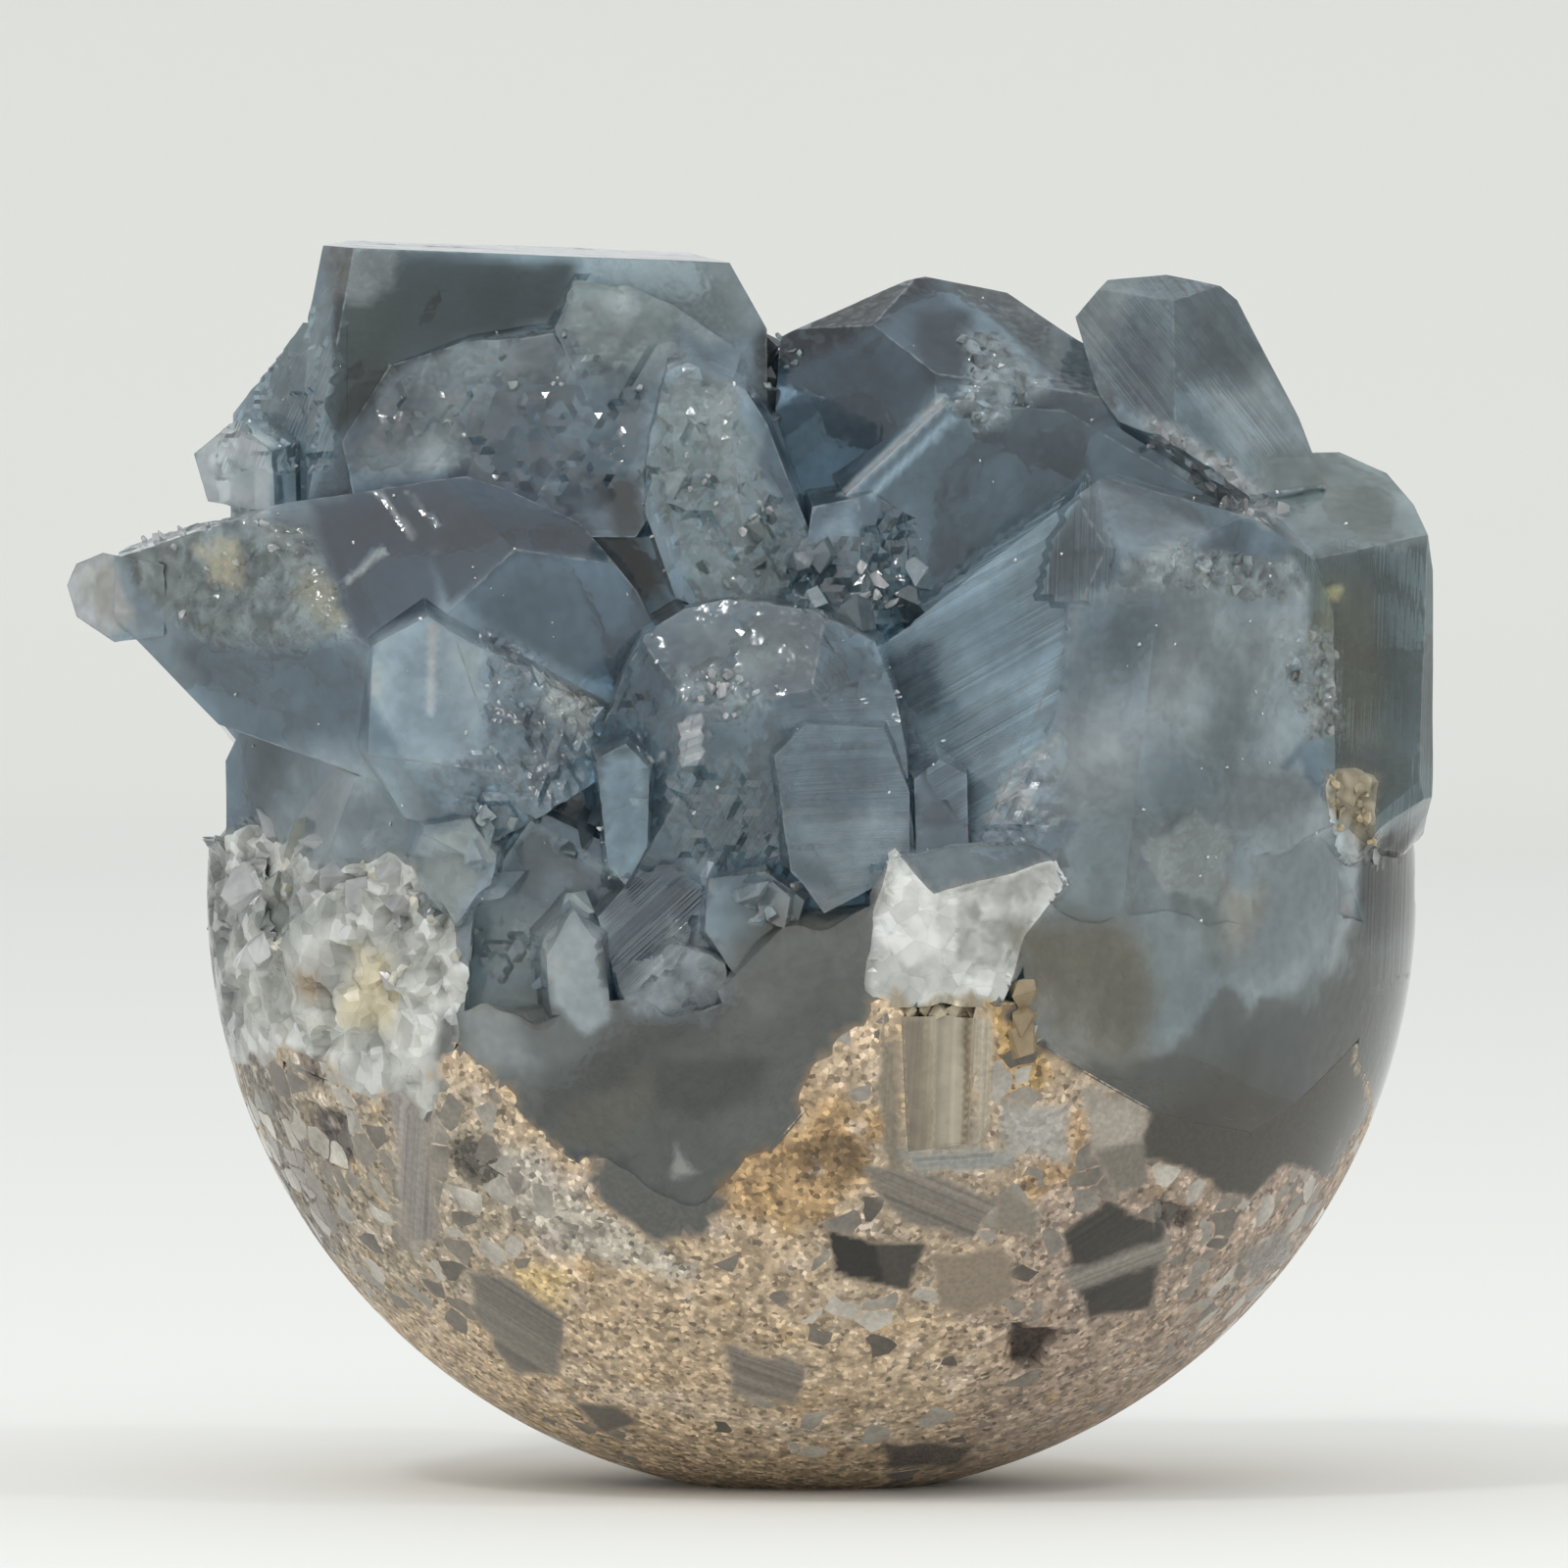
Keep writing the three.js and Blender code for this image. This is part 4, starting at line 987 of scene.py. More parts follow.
# Small crystals in the crevices and on broken places: where, how many, how large and how they look.
CHIP_SEED = 7
CHIP_CORNERS = 11
CHIP_LEAN = 0.5
CHIP_LIGHT = (0.75, 1.4)
CHIP_HAZE = 0.3
CHIPS = {
    "rim": {
        "outline": [(1.6, 48.6), (5.2, 49.2), (8.6, 48.6), (8.4, 45.2), (5.4, 44.4), (2.6, 44.8)],
        "count": 10, "size": (1.2, 3.0), "colour": (112, 122, 126), "stand": 0.1,
    },
    # Small crystals painted pale, as painted glints.
    "rim_glints": {
        "outline": [(4.6, 47.8), (8.2, 48.2), (8.0, 45.8), (5.4, 45.2)],
        "count": 7, "size": (0.5, 1.0), "colour": (176, 182, 182), "stand": 0.3,
    },
    "rosette": {
        "outline": [(0.2, 32), (2.2, 32), (2.2, 30), (0.2, 30)],
        "count": 6, "size": (0.6, 1.1), "colour": (140, 149, 152), "stand": 0.2,
    },
    "dome_veil": {
        "outline": [(-2.4, 42.6), (1.6, 42.2), (1.6, 40), (-2.4, 40.2)],
        "count": 14, "size": (0.35, 0.8), "colour": (158, 166, 168), "stand": 0.1,
    },
    "finger": {
        "outline": [(-4.4, 56), (-0.9, 56), (0.6, 51), (2.6, 47), (-2.6, 46), (-4.8, 51)],
        "count": 10, "size": (0.4, 2.0), "colour": (112, 120, 121), "stand": -0.15,
    },
    # Small crystals painted pale, as painted glints.
    "finger_glints": {
        "outline": [(-3.6, 53.4), (-0.6, 53.4), (1.6, 49), (-1.6, 48)],
        "count": 12, "size": (0.25, 0.6), "colour": (200, 203, 201), "stand": 0.2,
    },
    "veil": {
        "outline": [(-19.6, 52.6), (-17.6, 56.8), (-10.6, 59.4), (-6.2, 60.6), (-5.6, 56), (-13, 56), (-15, 52.8)],
        "count": 9, "size": (0.3, 1.0), "colour": (138, 143, 142), "stand": -0.05,
    },
    "left_tip": {
        "outline": [(-32.6, 49.4), (-24, 49.8), (-23.4, 46), (-28, 44.2), (-31, 46)],
        "count": 18, "size": (0.2, 0.7), "colour": (168, 170, 166), "stand": 0.05,
    },
    "peak_chip": {
        "outline": [(11, 59.3), (12.6, 59), (15.4, 56.8), (12, 54.6), (10.8, 55.9)],
        "count": 10, "size": (0.5, 1.4), "colour": (128, 135, 137), "stand": -0.12,
    },
    "peak_left_corner": {
        "outline": [(0.4, 58.6), (2.4, 59.4), (2.8, 57.4), (0.6, 56.4)],
        "count": 7, "size": (0.4, 0.9), "colour": (132, 140, 142), "stand": 0.1,
    },
    "knob_strip": {
        "outline": [(20, 55.2), (24, 53), (27.6, 50), (25.4, 49.8), (20.8, 53.2)],
        "count": 14, "size": (0.4, 1.1), "colour": (136, 136, 136), "stand": 0.05,
    },
    "slab_edge": {
        "outline": [(26.9, 44.4), (29.6, 43.9), (30.2, 39.4), (28.3, 38.6)],
        "count": 14, "size": (0.4, 1.0), "colour": (132, 134, 130), "stand": -0.15,
    },
    "slab_ochre": {
        "outline": [(29.6, 36.8), (31.7, 36.8), (31.7, 32.8), (30.2, 32.9)],
        "count": 18, "size": (0.4, 0.9), "colour": (166, 152, 124), "crust": 1, "stand": -0.05,
    },
    "lump_broken": {
        "outline": [(-13.3, 44.2), (-7.6, 40.4), (-8.4, 37), (-11.3, 34.2), (-14.6, 35)],
        "count": 9, "size": (0.5, 1.6), "colour": (138, 147, 151), "stand": -0.1,
    },
    "crevices": {
        "outline": [(-14, 34), (-8, 34), (-5, 32), (2, 33), (2.6, 27), (-6, 25.6), (-13.6, 26.6)],
        "count": 9, "size": (1.2, 2.8), "colour": (128, 136, 140), "stand": -0.1,
    },
    "specks": {
        "outline": [(-30, 60), (0, 64), (24, 62), (34, 50), (34, 26), (-26, 30)],
        "count": 108, "size": (0.1, 0.26), "colour": (214, 216, 212), "crust": 1, "stand": 0.2,
    },
    "crust_lumps": {
        "outline": [(-27, 34.6), (-22, 33.6), (-18.4, 34), (-14.6, 31), (-14.6, 24), (-18, 20.6), (-27, 24)],
        "count": 38, "size": (1.4, 3.8), "colour": (166, 168, 162), "stand": -0.32, "haze": 0.8,
    },
    "crust_bits": {
        "outline": [(-27, 33.4), (-22, 32.6), (-18.4, 33), (-14.6, 30), (-14.6, 24), (-18, 20.6), (-27, 24)],
        "count": 24, "size": (0.4, 1.3), "colour": (196, 193, 181), "crust": 1, "stand": 0.0,
    },
    "cleavage_bits": {
        "outline": [(5.9, 26.4), (6.2, 30), (7.3, 33), (9.2, 31.2), (10, 28.6), (9.6, 26)],
        "count": 12, "size": (0.4, 1.3), "colour": (190, 192, 188), "crust": 1, "stand": 0.0,
    },
    "lobe_edge": {
        "outline": [(21.6, 24.4), (24.6, 27.4), (27, 27), (30, 27), (30.4, 25.2), (27, 23.6), (24, 23.4)],
        "count": 20, "size": (0.5, 1.4), "colour": (132, 138, 138), "stand": -0.15,
    },
    "cloud_crest": {
        "outline": [(18, 48.8), (23, 49), (28, 47.6), (27, 46), (20, 46.6)],
        "count": 14, "size": (0.4, 1.2), "colour": (132, 138, 139), "stand": -0.15,
    },
    "cleavage_tip": {
        "at": [(7.3, -26.2, 32.6), (7.6, -26.0, 31.9)],
        "size": (1.6, 2.0), "colour": (188, 190, 186), "crust": 1,
    },
    "gap_beside_cleavage": {
        "at": [(13.7, -26.0, 25.2), (14.1, -26.0, 26.1), (13.3, -26.0, 24.2)],
        "size": (2.6, 3.0), "colour": (156, 138, 108), "crust": 1,
    },
    "notch_beside_peak": {
        "at": [(0.8, -1, 57.4), (0.9, 0.5, 56.2), (0.6, -2, 55.2), (1.2, -3, 54.2)],
        "size": (3.0, 3.6), "colour": (84, 95, 102),
    },
    "gap_under_lump": {
        "at": [(-7.8, -21.2, 35.3), (-8.2, -21.0, 34.6)],
        "size": (2.4, 3.0), "colour": (104, 115, 121),
    },
    "in_crevices": {
        "count": 170, "size": (0.5, 1.8), "colour": (122, 132, 137), "stand": -0.15,
    },
    "beside_peak": {
        "at": [(0.9, -5, 58.8), (0.8, -5.5, 58), (0.9, -6.2, 57), (1, -6.6, 56), (1.1, -7.6, 55)],
        "size": (1.4, 1.9), "colour": (88, 94, 96), "crust": 1,
    },
    "slot_beside_cleavage": {
        "at": [(13.2, -26.2, 26.7), (13.2, -26.4, 25.6)],
        "size": (1.5, 1.9), "colour": (150, 136, 112), "crust": 1,
    },
    "slot_over_column": {
        "at": [(8, -27.6, 25.4), (8.8, -27.5, 25.5), (9.6, -27.4, 25.3), (10.3, -27.3, 25.4)],
        "size": (1.0, 1.4), "colour": (172, 160, 136), "crust": 1,
    },
}

# Crystals away from the front vary like this: the size of a tone, in millimetres, and its two ends.
TONE_SIZE = 9.0
DARK_TONE = (86, 98, 106)
LIGHT_TONE = (124, 136, 143)
ROOT_TONE = (98, 100, 98)


# Clear crystal has to be painted stronger than it looks: its lightness is this factor times that of the
# tone it shows, to the first power, and its hue is the tone's to the second.
CLEAR_FACTOR = 4.4
CLEAR_POWER = 1.5
CLEAR_HUE = 1.25
BRIGHTEST = 0.85


def painted_clear(tone):
    """The colour that clear crystal is painted with, so that it shows a tone."""
    light = tone.mean(axis=-1, keepdims=True)
    return np.clip(CLEAR_FACTOR * light**CLEAR_POWER * (tone / light) ** CLEAR_HUE, 0, BRIGHTEST)


def blank_fields(points, tone):
    """Fields for the shaders, before any mark."""
    count = len(points)
    fields = {name: np.zeros(count) for name in ("haze", "rough", "lines", "across", "crust", "relief", "pit", "flush", "bits", "bare")}
    fields["tone"] = tone
    fields["swirl"] = SWIRL * np.stack([noise(points, SWIRL_SIZE, seed) for seed in (95, 96, 97)], axis=1)
    return fields


# How far the tones of the small planes of a broken face are apart.
FACET_SPREAD = 0.9


def apply_marks(marks, points, normals, fields):
    """Puts every mark into the fields, later ones over earlier ones."""
    wander = wander_at(points)
    flat = points[:, [0, 2]]
    for mark in marks.values():
        low = np.min(mark["outline"], axis=0) - MARK_MARGIN
        high = np.max(mark["outline"], axis=0) + MARK_MARGIN
        near = np.flatnonzero(((flat > low) & (flat < high)).all(axis=1) & (points[:, 1] < MARK_BACK))
        strength = mark_strength(points[near], normals[near], wander[near], mark)
        near, strength = near[strength > 0], strength[strength > 0]
        fields["tone"][near] += strength[:, None] * (linear(*mark["colour"]) - fields["tone"][near])
        for name in ("haze", "rough", "crust", "pit", "flush", "bits", "bare"):
            fields[name][near] = np.clip(fields[name][near] + strength * mark.get(name, 0), 0, 1)
        if "lines" in mark:
            slant = math.radians(mark["slant"])
            fields["across"][near] = points[near] @ np.array([-math.sin(slant), 0, math.cos(slant)])
            fields["lines"][near] += strength * (mark["lines"] - fields["lines"][near])
        if "relief" in mark:
            grain = mark.get("grain", 1.0)
            large, number = shards(points[near], grain, 41)
            small, fine_number = shards(points[near], grain / 2.3, 48)
            step = (large + 0.4 * small) * mark["relief"]
            fields["relief"][near] += strength * (step - fields["relief"][near])
            spread = FACET_SPREAD * mark.get("rough", 0) * (number + fine_number - 1)
            fields["tone"][near] *= (1 + strength * spread)[:, None]


def crust_depth(points):
    """How far inside the marks for crust each point is, seen from the front, below 0 outside."""
    wander = wander_at(points)
    depth = np.full(len(points), -MARK_MARGIN)
    for mark in CRYSTAL_MARKS.values():
        if "crust" in mark:
            inside = inside_outline(wandered(points, wander, mark), np.array(mark["outline"]))
            depth = np.maximum(depth, inside) if mark["crust"] > 0 else np.minimum(depth, -inside)
    return depth


def sharp_edges(points, triangles):
    """Which corners lie on an outward crystal edge, and which lie in a crevice, 1 or 0 each."""
    edges, of_triangle = edge_table(triangles, len(points))
    normals = face_normals(points, triangles)
    middles = points[triangles].mean(axis=1)
    order = np.argsort(of_triangle.ravel(), kind="stable")
    uses = np.bincount(of_triangle.ravel())
    first = np.cumsum(uses) - uses
    paired = uses == 2
    one, other = order[first[paired]] // 3, order[first[paired] + 1] // 3
    turn = (normals[one] * normals[other]).sum(axis=1)
    outward = ((middles[other] - middles[one]) * normals[one]).sum(axis=1) < 0
    marked = []
    for kind in (outward, ~outward):
        found = np.flatnonzero(paired)[(turn < math.cos(SHARP_ANGLE)) & kind]
        near = np.zeros(len(points))
        near[edges[found].ravel()] = 1
        marked.append(near)
    return marked


def crisp_boxes(marks):
    """The boxes [x, z] round the marks whose outlines are crisp."""
    crisp = [mark["outline"] for mark in marks.values() if mark.get("soft", SOFT) < CRISP]
    return np.array([(np.min(o, axis=0) - FINE_MARGIN, np.max(o, axis=0) + FINE_MARGIN) for o in crisp])


def edge_limit(marks):
    """A rule for the longest edge allowed at a place, and on a face that looks along a normal."""
    boxes = crisp_boxes(marks)

    def longest(place, normal=None):
        if place[1] > 0 or (normal is not None and normal[1] > AWAY):
            return OTHER_EDGE
        flat = place[[0, 2]]
        crisp = ((flat > boxes[:, 0]) & (flat < boxes[:, 1])).all(axis=1).any()
        return FINE_EDGE if crisp else FRONT_EDGE

    return longest


def nearest_to(points, others):
    """Which of the others is nearest to each point, and how far away it is."""
    tree = KDTree(len(others))
    for i, other in enumerate(others):
        tree.insert(Vector(other), i)
    tree.balance()
    found = [tree.find(Vector(p)) for p in points]
    return np.array([hit[1] for hit in found]), np.array([hit[2] for hit in found])


# Shaders


def add(tree, kind, values=None, links=None, **settings):
    """A shader node with its settings, plain values and incoming links."""
    made = tree.nodes.new("ShaderNode" + kind)
    for name, value in settings.items():
        setattr(made, name, value)
    for socket, value in (values or {}).items():
        made.inputs[socket].default_value = value
    for socket, source in (links or {}).items():
        tree.links.new(source, made.inputs[socket])
    return made


def field_value(tree, name):
    return add(tree, "Attribute", attribute_name=name).outputs["Fac"]


def field_colour(tree, name):
    return add(tree, "Attribute", attribute_name=name).outputs["Color"]


def join(tree, kind, operation, sources):
    """A maths node whose inputs are links, or plain numbers or vectors."""
    made = add(tree, kind, operation=operation)
    for socket, source in zip(made.inputs, sources):
        if isinstance(source, (int, float, tuple)):
            socket.default_value = source
        else:
            tree.links.new(source, socket)
    return made


def product(tree, *sources):
    """Several values multiplied."""
    total = sources[0]
    for source in sources[1:]:
        total = join(tree, "Math", "MULTIPLY", (total, source)).outputs[0]
    return total


def total_of(tree, *sources):
    """Several values added up."""
    total = sources[0]
    for source in sources[1:]:
        total = join(tree, "Math", "ADD", (total, source)).outputs[0]
    return total


def rescaled(tree, source, low, high, to_low, to_high):
    """A value moved smoothly from one range to another."""
    values = {"From Min": low, "From Max": high, "To Min": to_low, "To Max": to_high}
    return add(tree, "MapRange", values, {"Value": source}, interpolation_type="SMOOTHSTEP").outputs[0]


def noise_node(tree, places, size, detail=2.0):
    """Noise whose bumps are about size millimetres across."""
    return add(tree, "TexNoise", {"Scale": 1 / size, "Detail": detail}, {"Vector": places}).outputs["Fac"]


def mixed(tree, kind, share, first, second):
    """Two colours mixed by a share, each a link or a plain colour."""
    made = add(tree, "Mix", data_type="RGBA", blend_type=kind)
    for socket, source in ((made.inputs[0], share), (made.inputs[6], first), (made.inputs[7], second)):
        if isinstance(source, (int, float, tuple)):
            socket.default_value = source
        else:
            tree.links.new(source, socket)
    return made.outputs[2]


def grey(tree, source):
    """A value as a grey colour."""
    return add(tree, "CombineColor", None, {"Red": source, "Green": source, "Blue": source}).outputs[0]


def shaded(tree, colour, *shares):
    """A colour made lighter or darker by some values."""
    return mixed(tree, "MULTIPLY", 1.0, colour, grey(tree, product(tree, *shares)))


def cells_node(tree, places, size):
    """Cells about size millimetres across: a random number for each, and the height in millimetres of a
    facet tilted its own way in each cell."""
    cells = add(tree, "TexVoronoi", {"Scale": 1 / size}, {"Vector": places})
    random = add(tree, "SeparateColor", None, {"Color": cells.outputs["Color"]}).outputs[0]
    offset = join(tree, "VectorMath", "SUBTRACT", (places, cells.outputs["Position"])).outputs[0]
    tilt = join(tree, "VectorMath", "SUBTRACT", (cells.outputs["Color"], (0.5, 0.5, 0.5))).outputs[0]
    facet = join(tree, "VectorMath", "DOT_PRODUCT", (offset, tilt)).outputs["Value"]
    return random, facet


def new_material(name):
    """A material with a Principled shader, and places in millimetres for its patterns."""
    material = bpy.data.materials.new(name)
    material.use_nodes = True
    tree = material.node_tree
    tree.nodes.clear()
    shader = add(tree, "BsdfPrincipled")
    output = add(tree, "OutputMaterial", None, {"Surface": shader.outputs[0]})
    metres = add(tree, "TexCoord").outputs["Object"]
    places = add(tree, "VectorMath", {"Scale": 1 / MM}, {"Vector": metres}, operation="SCALE").outputs[0]
    return material, tree, shader, output, places


def growth_lines(tree):
    """Fine straight lines of uneven strength across a face, from -1 to 1, and 0 where it has none."""
    values = {"Scale": 1.3, "Detail": 3.0, "Roughness": 0.75}
    lines = add(tree, "TexNoise", values, {"W": field_value(tree, "across")}, noise_dimensions="1D")
    return product(tree, rescaled(tree, lines.outputs["Fac"], 0.3, 0.7, -1, 1), field_value(tree, "lines"))


def bumped(tree, shader, height, **strength):
    """Bumps whose height is given in millimetres. A link for their Strength flattens them in places."""
    bump = add(tree, "Bump", {"Strength": 1.0, "Distance": MM}, {"Height": height, **strength})
    tree.links.new(bump.outputs[0], shader.inputs["Normal"])


CRYSTAL_IOR = 1.62
CRYSTAL_CLEARNESS = 0.68
# What the crystal takes out of light on its way through, per metre.
ABSORPTION_DENSITY = 28.0
ABSORPTION_COLOUR = (0.05, 0.3, 0.42)
# The colour of frosted and milky crystal, which is also painted along crystal edges as a highlight.
FROST_AND_HIGHLIGHT_COLOUR = (176, 183, 184)
SPARKLE_COLOUR = (238, 241, 241)
MOTTLE_SIZE = 0.6


def crystal_material():
    """Clear to milky blue-grey crystal."""
    material, tree, shader, output, places = new_material("celestite_clear")
    haze = field_value(tree, "haze")
    rough = field_value(tree, "rough")
    mottle = noise_node(tree, places, MOTTLE_SIZE, 1.0)
    lines = growth_lines(tree)

    base = shaded(
        tree,
        field_colour(tree, "tone"),
        rescaled(tree, mottle, 0.3, 0.7, 0.92, 1.08),
        total_of(tree, 1.0, product(tree, lines, 0.26)),
    )
    frosty = product(tree, rough, rescaled(tree, mottle, 0.52, 0.66, 0, 0.5))
    # Crystal edges are painted pale in the frost colour, as painted highlights.
    edge = rescaled(tree, field_value(tree, "edge"), 0.7, 0.95, 0, 1)
    edge = product(tree, edge, rescaled(tree, mottle, 0.4, 0.6, 0.1, 0.7))
    base = mixed(tree, "MIX", total_of(tree, frosty, edge), base, rgba(FROST_AND_HIGHLIGHT_COLOUR))
    tree.links.new(base, shader.inputs["Base Color"])

    gloss = total_of(tree, rescaled(tree, mottle, 0.3, 0.7, 0.06, 0.12), product(tree, rough, 0.1), product(tree, haze, 0.1))
    tree.links.new(gloss, shader.inputs["Roughness"])
    bumps = product(tree, mottle, total_of(tree, product(tree, rough, 0.22), 0.012))
    bumped(tree, shader, total_of(tree, bumps, product(tree, lines, 0.03)))

    shader.inputs["Transmission Weight"].default_value = CRYSTAL_CLEARNESS
    shader.inputs["IOR"].default_value = CRYSTAL_IOR
    inside = add(tree, "VolumeAbsorption", {"Color": (*ABSORPTION_COLOUR, 1.0), "Density": ABSORPTION_DENSITY})
    tree.links.new(inside.outputs[0], output.inputs["Volume"])
    return material


# Broken crystal: the size of its mottling and of its small facets.
CRUST_MOTTLE = 0.9
CRUST_FACET = 1.1


def crust_material():
    """White to cream broken crystal that no light comes through."""
    material, tree, shader, output, places = new_material("celestite_crust")
    rough = field_value(tree, "rough")
    mottle = noise_node(tree, places, CRUST_MOTTLE, 1.5)
    random, facet = cells_node(tree, places, CRUST_FACET)
    lines = growth_lines(tree)
    base = shaded(
        tree,
        field_colour(tree, "tone"),
        rescaled(tree, mottle, 0.3, 0.7, 0.92, 1.08),
        total_of(tree, 1.0, product(tree, lines, 0.25)),
        total_of(tree, 1.0, product(tree, rough, rescaled(tree, random, 0.0, 1.0, -0.32, 0.3))),
    )
    sparkle = product(tree, rough, rescaled(tree, random, 0.86, 0.88, 0, 0.7))
    base = mixed(tree, "MIX", sparkle, base, rgba(SPARKLE_COLOUR))
    tree.links.new(base, shader.inputs["Base Color"])
    tree.links.new(rescaled(tree, mottle, 0.3, 0.7, 0.18, 0.4), shader.inputs["Roughness"])
    bumped(tree, shader, total_of(tree, product(tree, facet, rough, 1.1), product(tree, mottle, 0.04)))
    return material


# Sand: the size of its grains, the stains in it, and the broken crystal bits that lie in it.
GRAIN_SIZE = 0.26
STAIN_SIZE = 2.2
STAIN_SHARE = 0.4
OCHRE = (190, 156, 104)
PINK_WHITE = (222, 208, 196)
GRAIN_TONES = ((0.0, 0.4), (0.12, 0.72), (0.5, 0.98), (0.8, 1.2), (1.0, 1.7))
CLUMP_SIZE = 0.9
BIT_SIZE = 1.5
BIT_TONES = ((0.0, (92, 86, 78)), (0.3, (128, 121, 111)), (0.6, (158, 152, 142)), (1.0, (188, 182, 171)))


def tone_ramp(tree, source, stops):
    """A colour for each value, from stops of a place and a grey share or a screen colour."""
    made = add(tree, "ValToRGB", None, {"Fac": source})
    elements = made.color_ramp.elements
    while len(elements) < len(stops):
        elements.new(0.5)
    for element, (place, tone) in zip(elements, stops):
        element.position = place
        element.color = rgba(tone) if isinstance(tone, tuple) else (tone, tone, tone, 1.0)
    return made.outputs["Color"]


def sand_material():
    """Sugary tan sandstone with stains, ground smooth, and the crystal bits ground flush in it."""
    material, tree, shader, output, places = new_material("matrix_sandstone")
    flush = field_value(tree, "flush")
    grain, facet = cells_node(tree, places, GRAIN_SIZE)
    fine = noise_node(tree, places, GRAIN_SIZE, 1.0)
    clump = noise_node(tree, places, CLUMP_SIZE, 1.0)
    stain = noise_node(tree, places, STAIN_SIZE, 3.0)
    lines = growth_lines(tree)

    warped = join(tree, "VectorMath", "ADD", (field_colour(tree, "swirl"), places)).outputs[0]
    bit, slope = cells_node(tree, warped, BIT_SIZE)
    shown = join(tree, "Math", "LESS_THAN", (bit, field_value(tree, "bits"))).outputs[0]
    sandy = join(tree, "Math", "SUBTRACT", (1.0, flush)).outputs[0]
    to_edge = add(tree, "TexVoronoi", {"Scale": 1 / BIT_SIZE}, {"Vector": warped}, feature="DISTANCE_TO_EDGE")
    bits = product(tree, shown, sandy, rescaled(tree, to_edge.outputs["Distance"], 0.03, 0.06, 0, 1))
    bit_tone = tone_ramp(tree, join(tree, "Math", "FRACT", (product(tree, bit, 7.3),)).outputs[0], BIT_TONES)
    bit_tone = shaded(tree, bit_tone, rescaled(tree, stain, 0.3, 0.7, 0.75, 1.25), rescaled(tree, fine, 0.3, 0.7, 0.9, 1.1))

    sand = mixed(tree, "MIX", rescaled(tree, stain, 0.6, 0.72, 0, STAIN_SHARE), field_colour(tree, "tone"), rgba(OCHRE))
    sand = mixed(tree, "MIX", rescaled(tree, stain, 0.42, 0.3, 0, STAIN_SHARE), sand, rgba(PINK_WHITE))
    sand = mixed(tree, "MULTIPLY", 1.0, sand, tone_ramp(tree, grain, GRAIN_TONES))
    sand = shaded(tree, sand, rescaled(tree, clump, 0.3, 0.65, 0.72, 1.2))
    ground = shaded(tree, field_colour(tree, "tone"), total_of(tree, 1.0, product(tree, lines, 0.3)), rescaled(tree, fine, 0.3, 0.7, 0.9, 1.1))
    base = mixed(tree, "MIX", flush, sand, ground)
    base = mixed(tree, "MIX", bits, base, bit_tone)
    tree.links.new(base, shader.inputs["Base Color"])

    smooth = join(tree, "Math", "MAXIMUM", (flush, bits)).outputs[0]
    loose = join(tree, "Math", "SUBTRACT", (1.0, smooth)).outputs[0]
    tree.links.new(rescaled(tree, smooth, 0, 1, 0.5, 0.16), shader.inputs["Roughness"])
    bumps = total_of(tree, product(tree, facet, 0.8), product(tree, fine, 0.07), product(tree, clump, 0.35))
    bumped(tree, shader, bumps, Strength=loose)
    return material


# Pieces

# Sand grows over the roots by up to this much along the line between them.
SHORE_REACH = 1.1
SHORE_GRAIN = 2.2
# On the front the sand ends here, and the grey roots go on across it.
SHORE_END = 15.0
# How far the matrix is grown across the seam between the solids, so that no gap is left.
GROWN = SEAM + 0.15
WAVES = 0.05
# Small crystals grow in crevices from this far above the sand, and behind this.
CREVICE_START = 3.0
CREVICE_BACK = 8.0
# The ragged line between the polished roots and the crystals above them.
LEDGE_LOW = 20.0
LEDGE_REACH = 2.6
# The broken crust is dented from this far above the sand.
DENT_START = (0.6, 2.2)
# Clear crystal is painted lighter this close to its edges, as a painted highlight, and a little darker further in, as
# painted shade.
RIM_WIDTH = 2.2
RIM_LIGHT = 0.22
RIM_DARK = -0.08


def ledge_points(points, triangles, polished):
    """The corners between polished and unpolished faces, above the sand."""
    on_both = np.zeros(len(points), bool)
    on_both[triangles[~polished].ravel()] = True
    inside = np.zeros(len(points), bool)
    inside[triangles[polished].ravel()] = True
    return on_both & inside & (points[:, 2] > LEDGE_LOW)


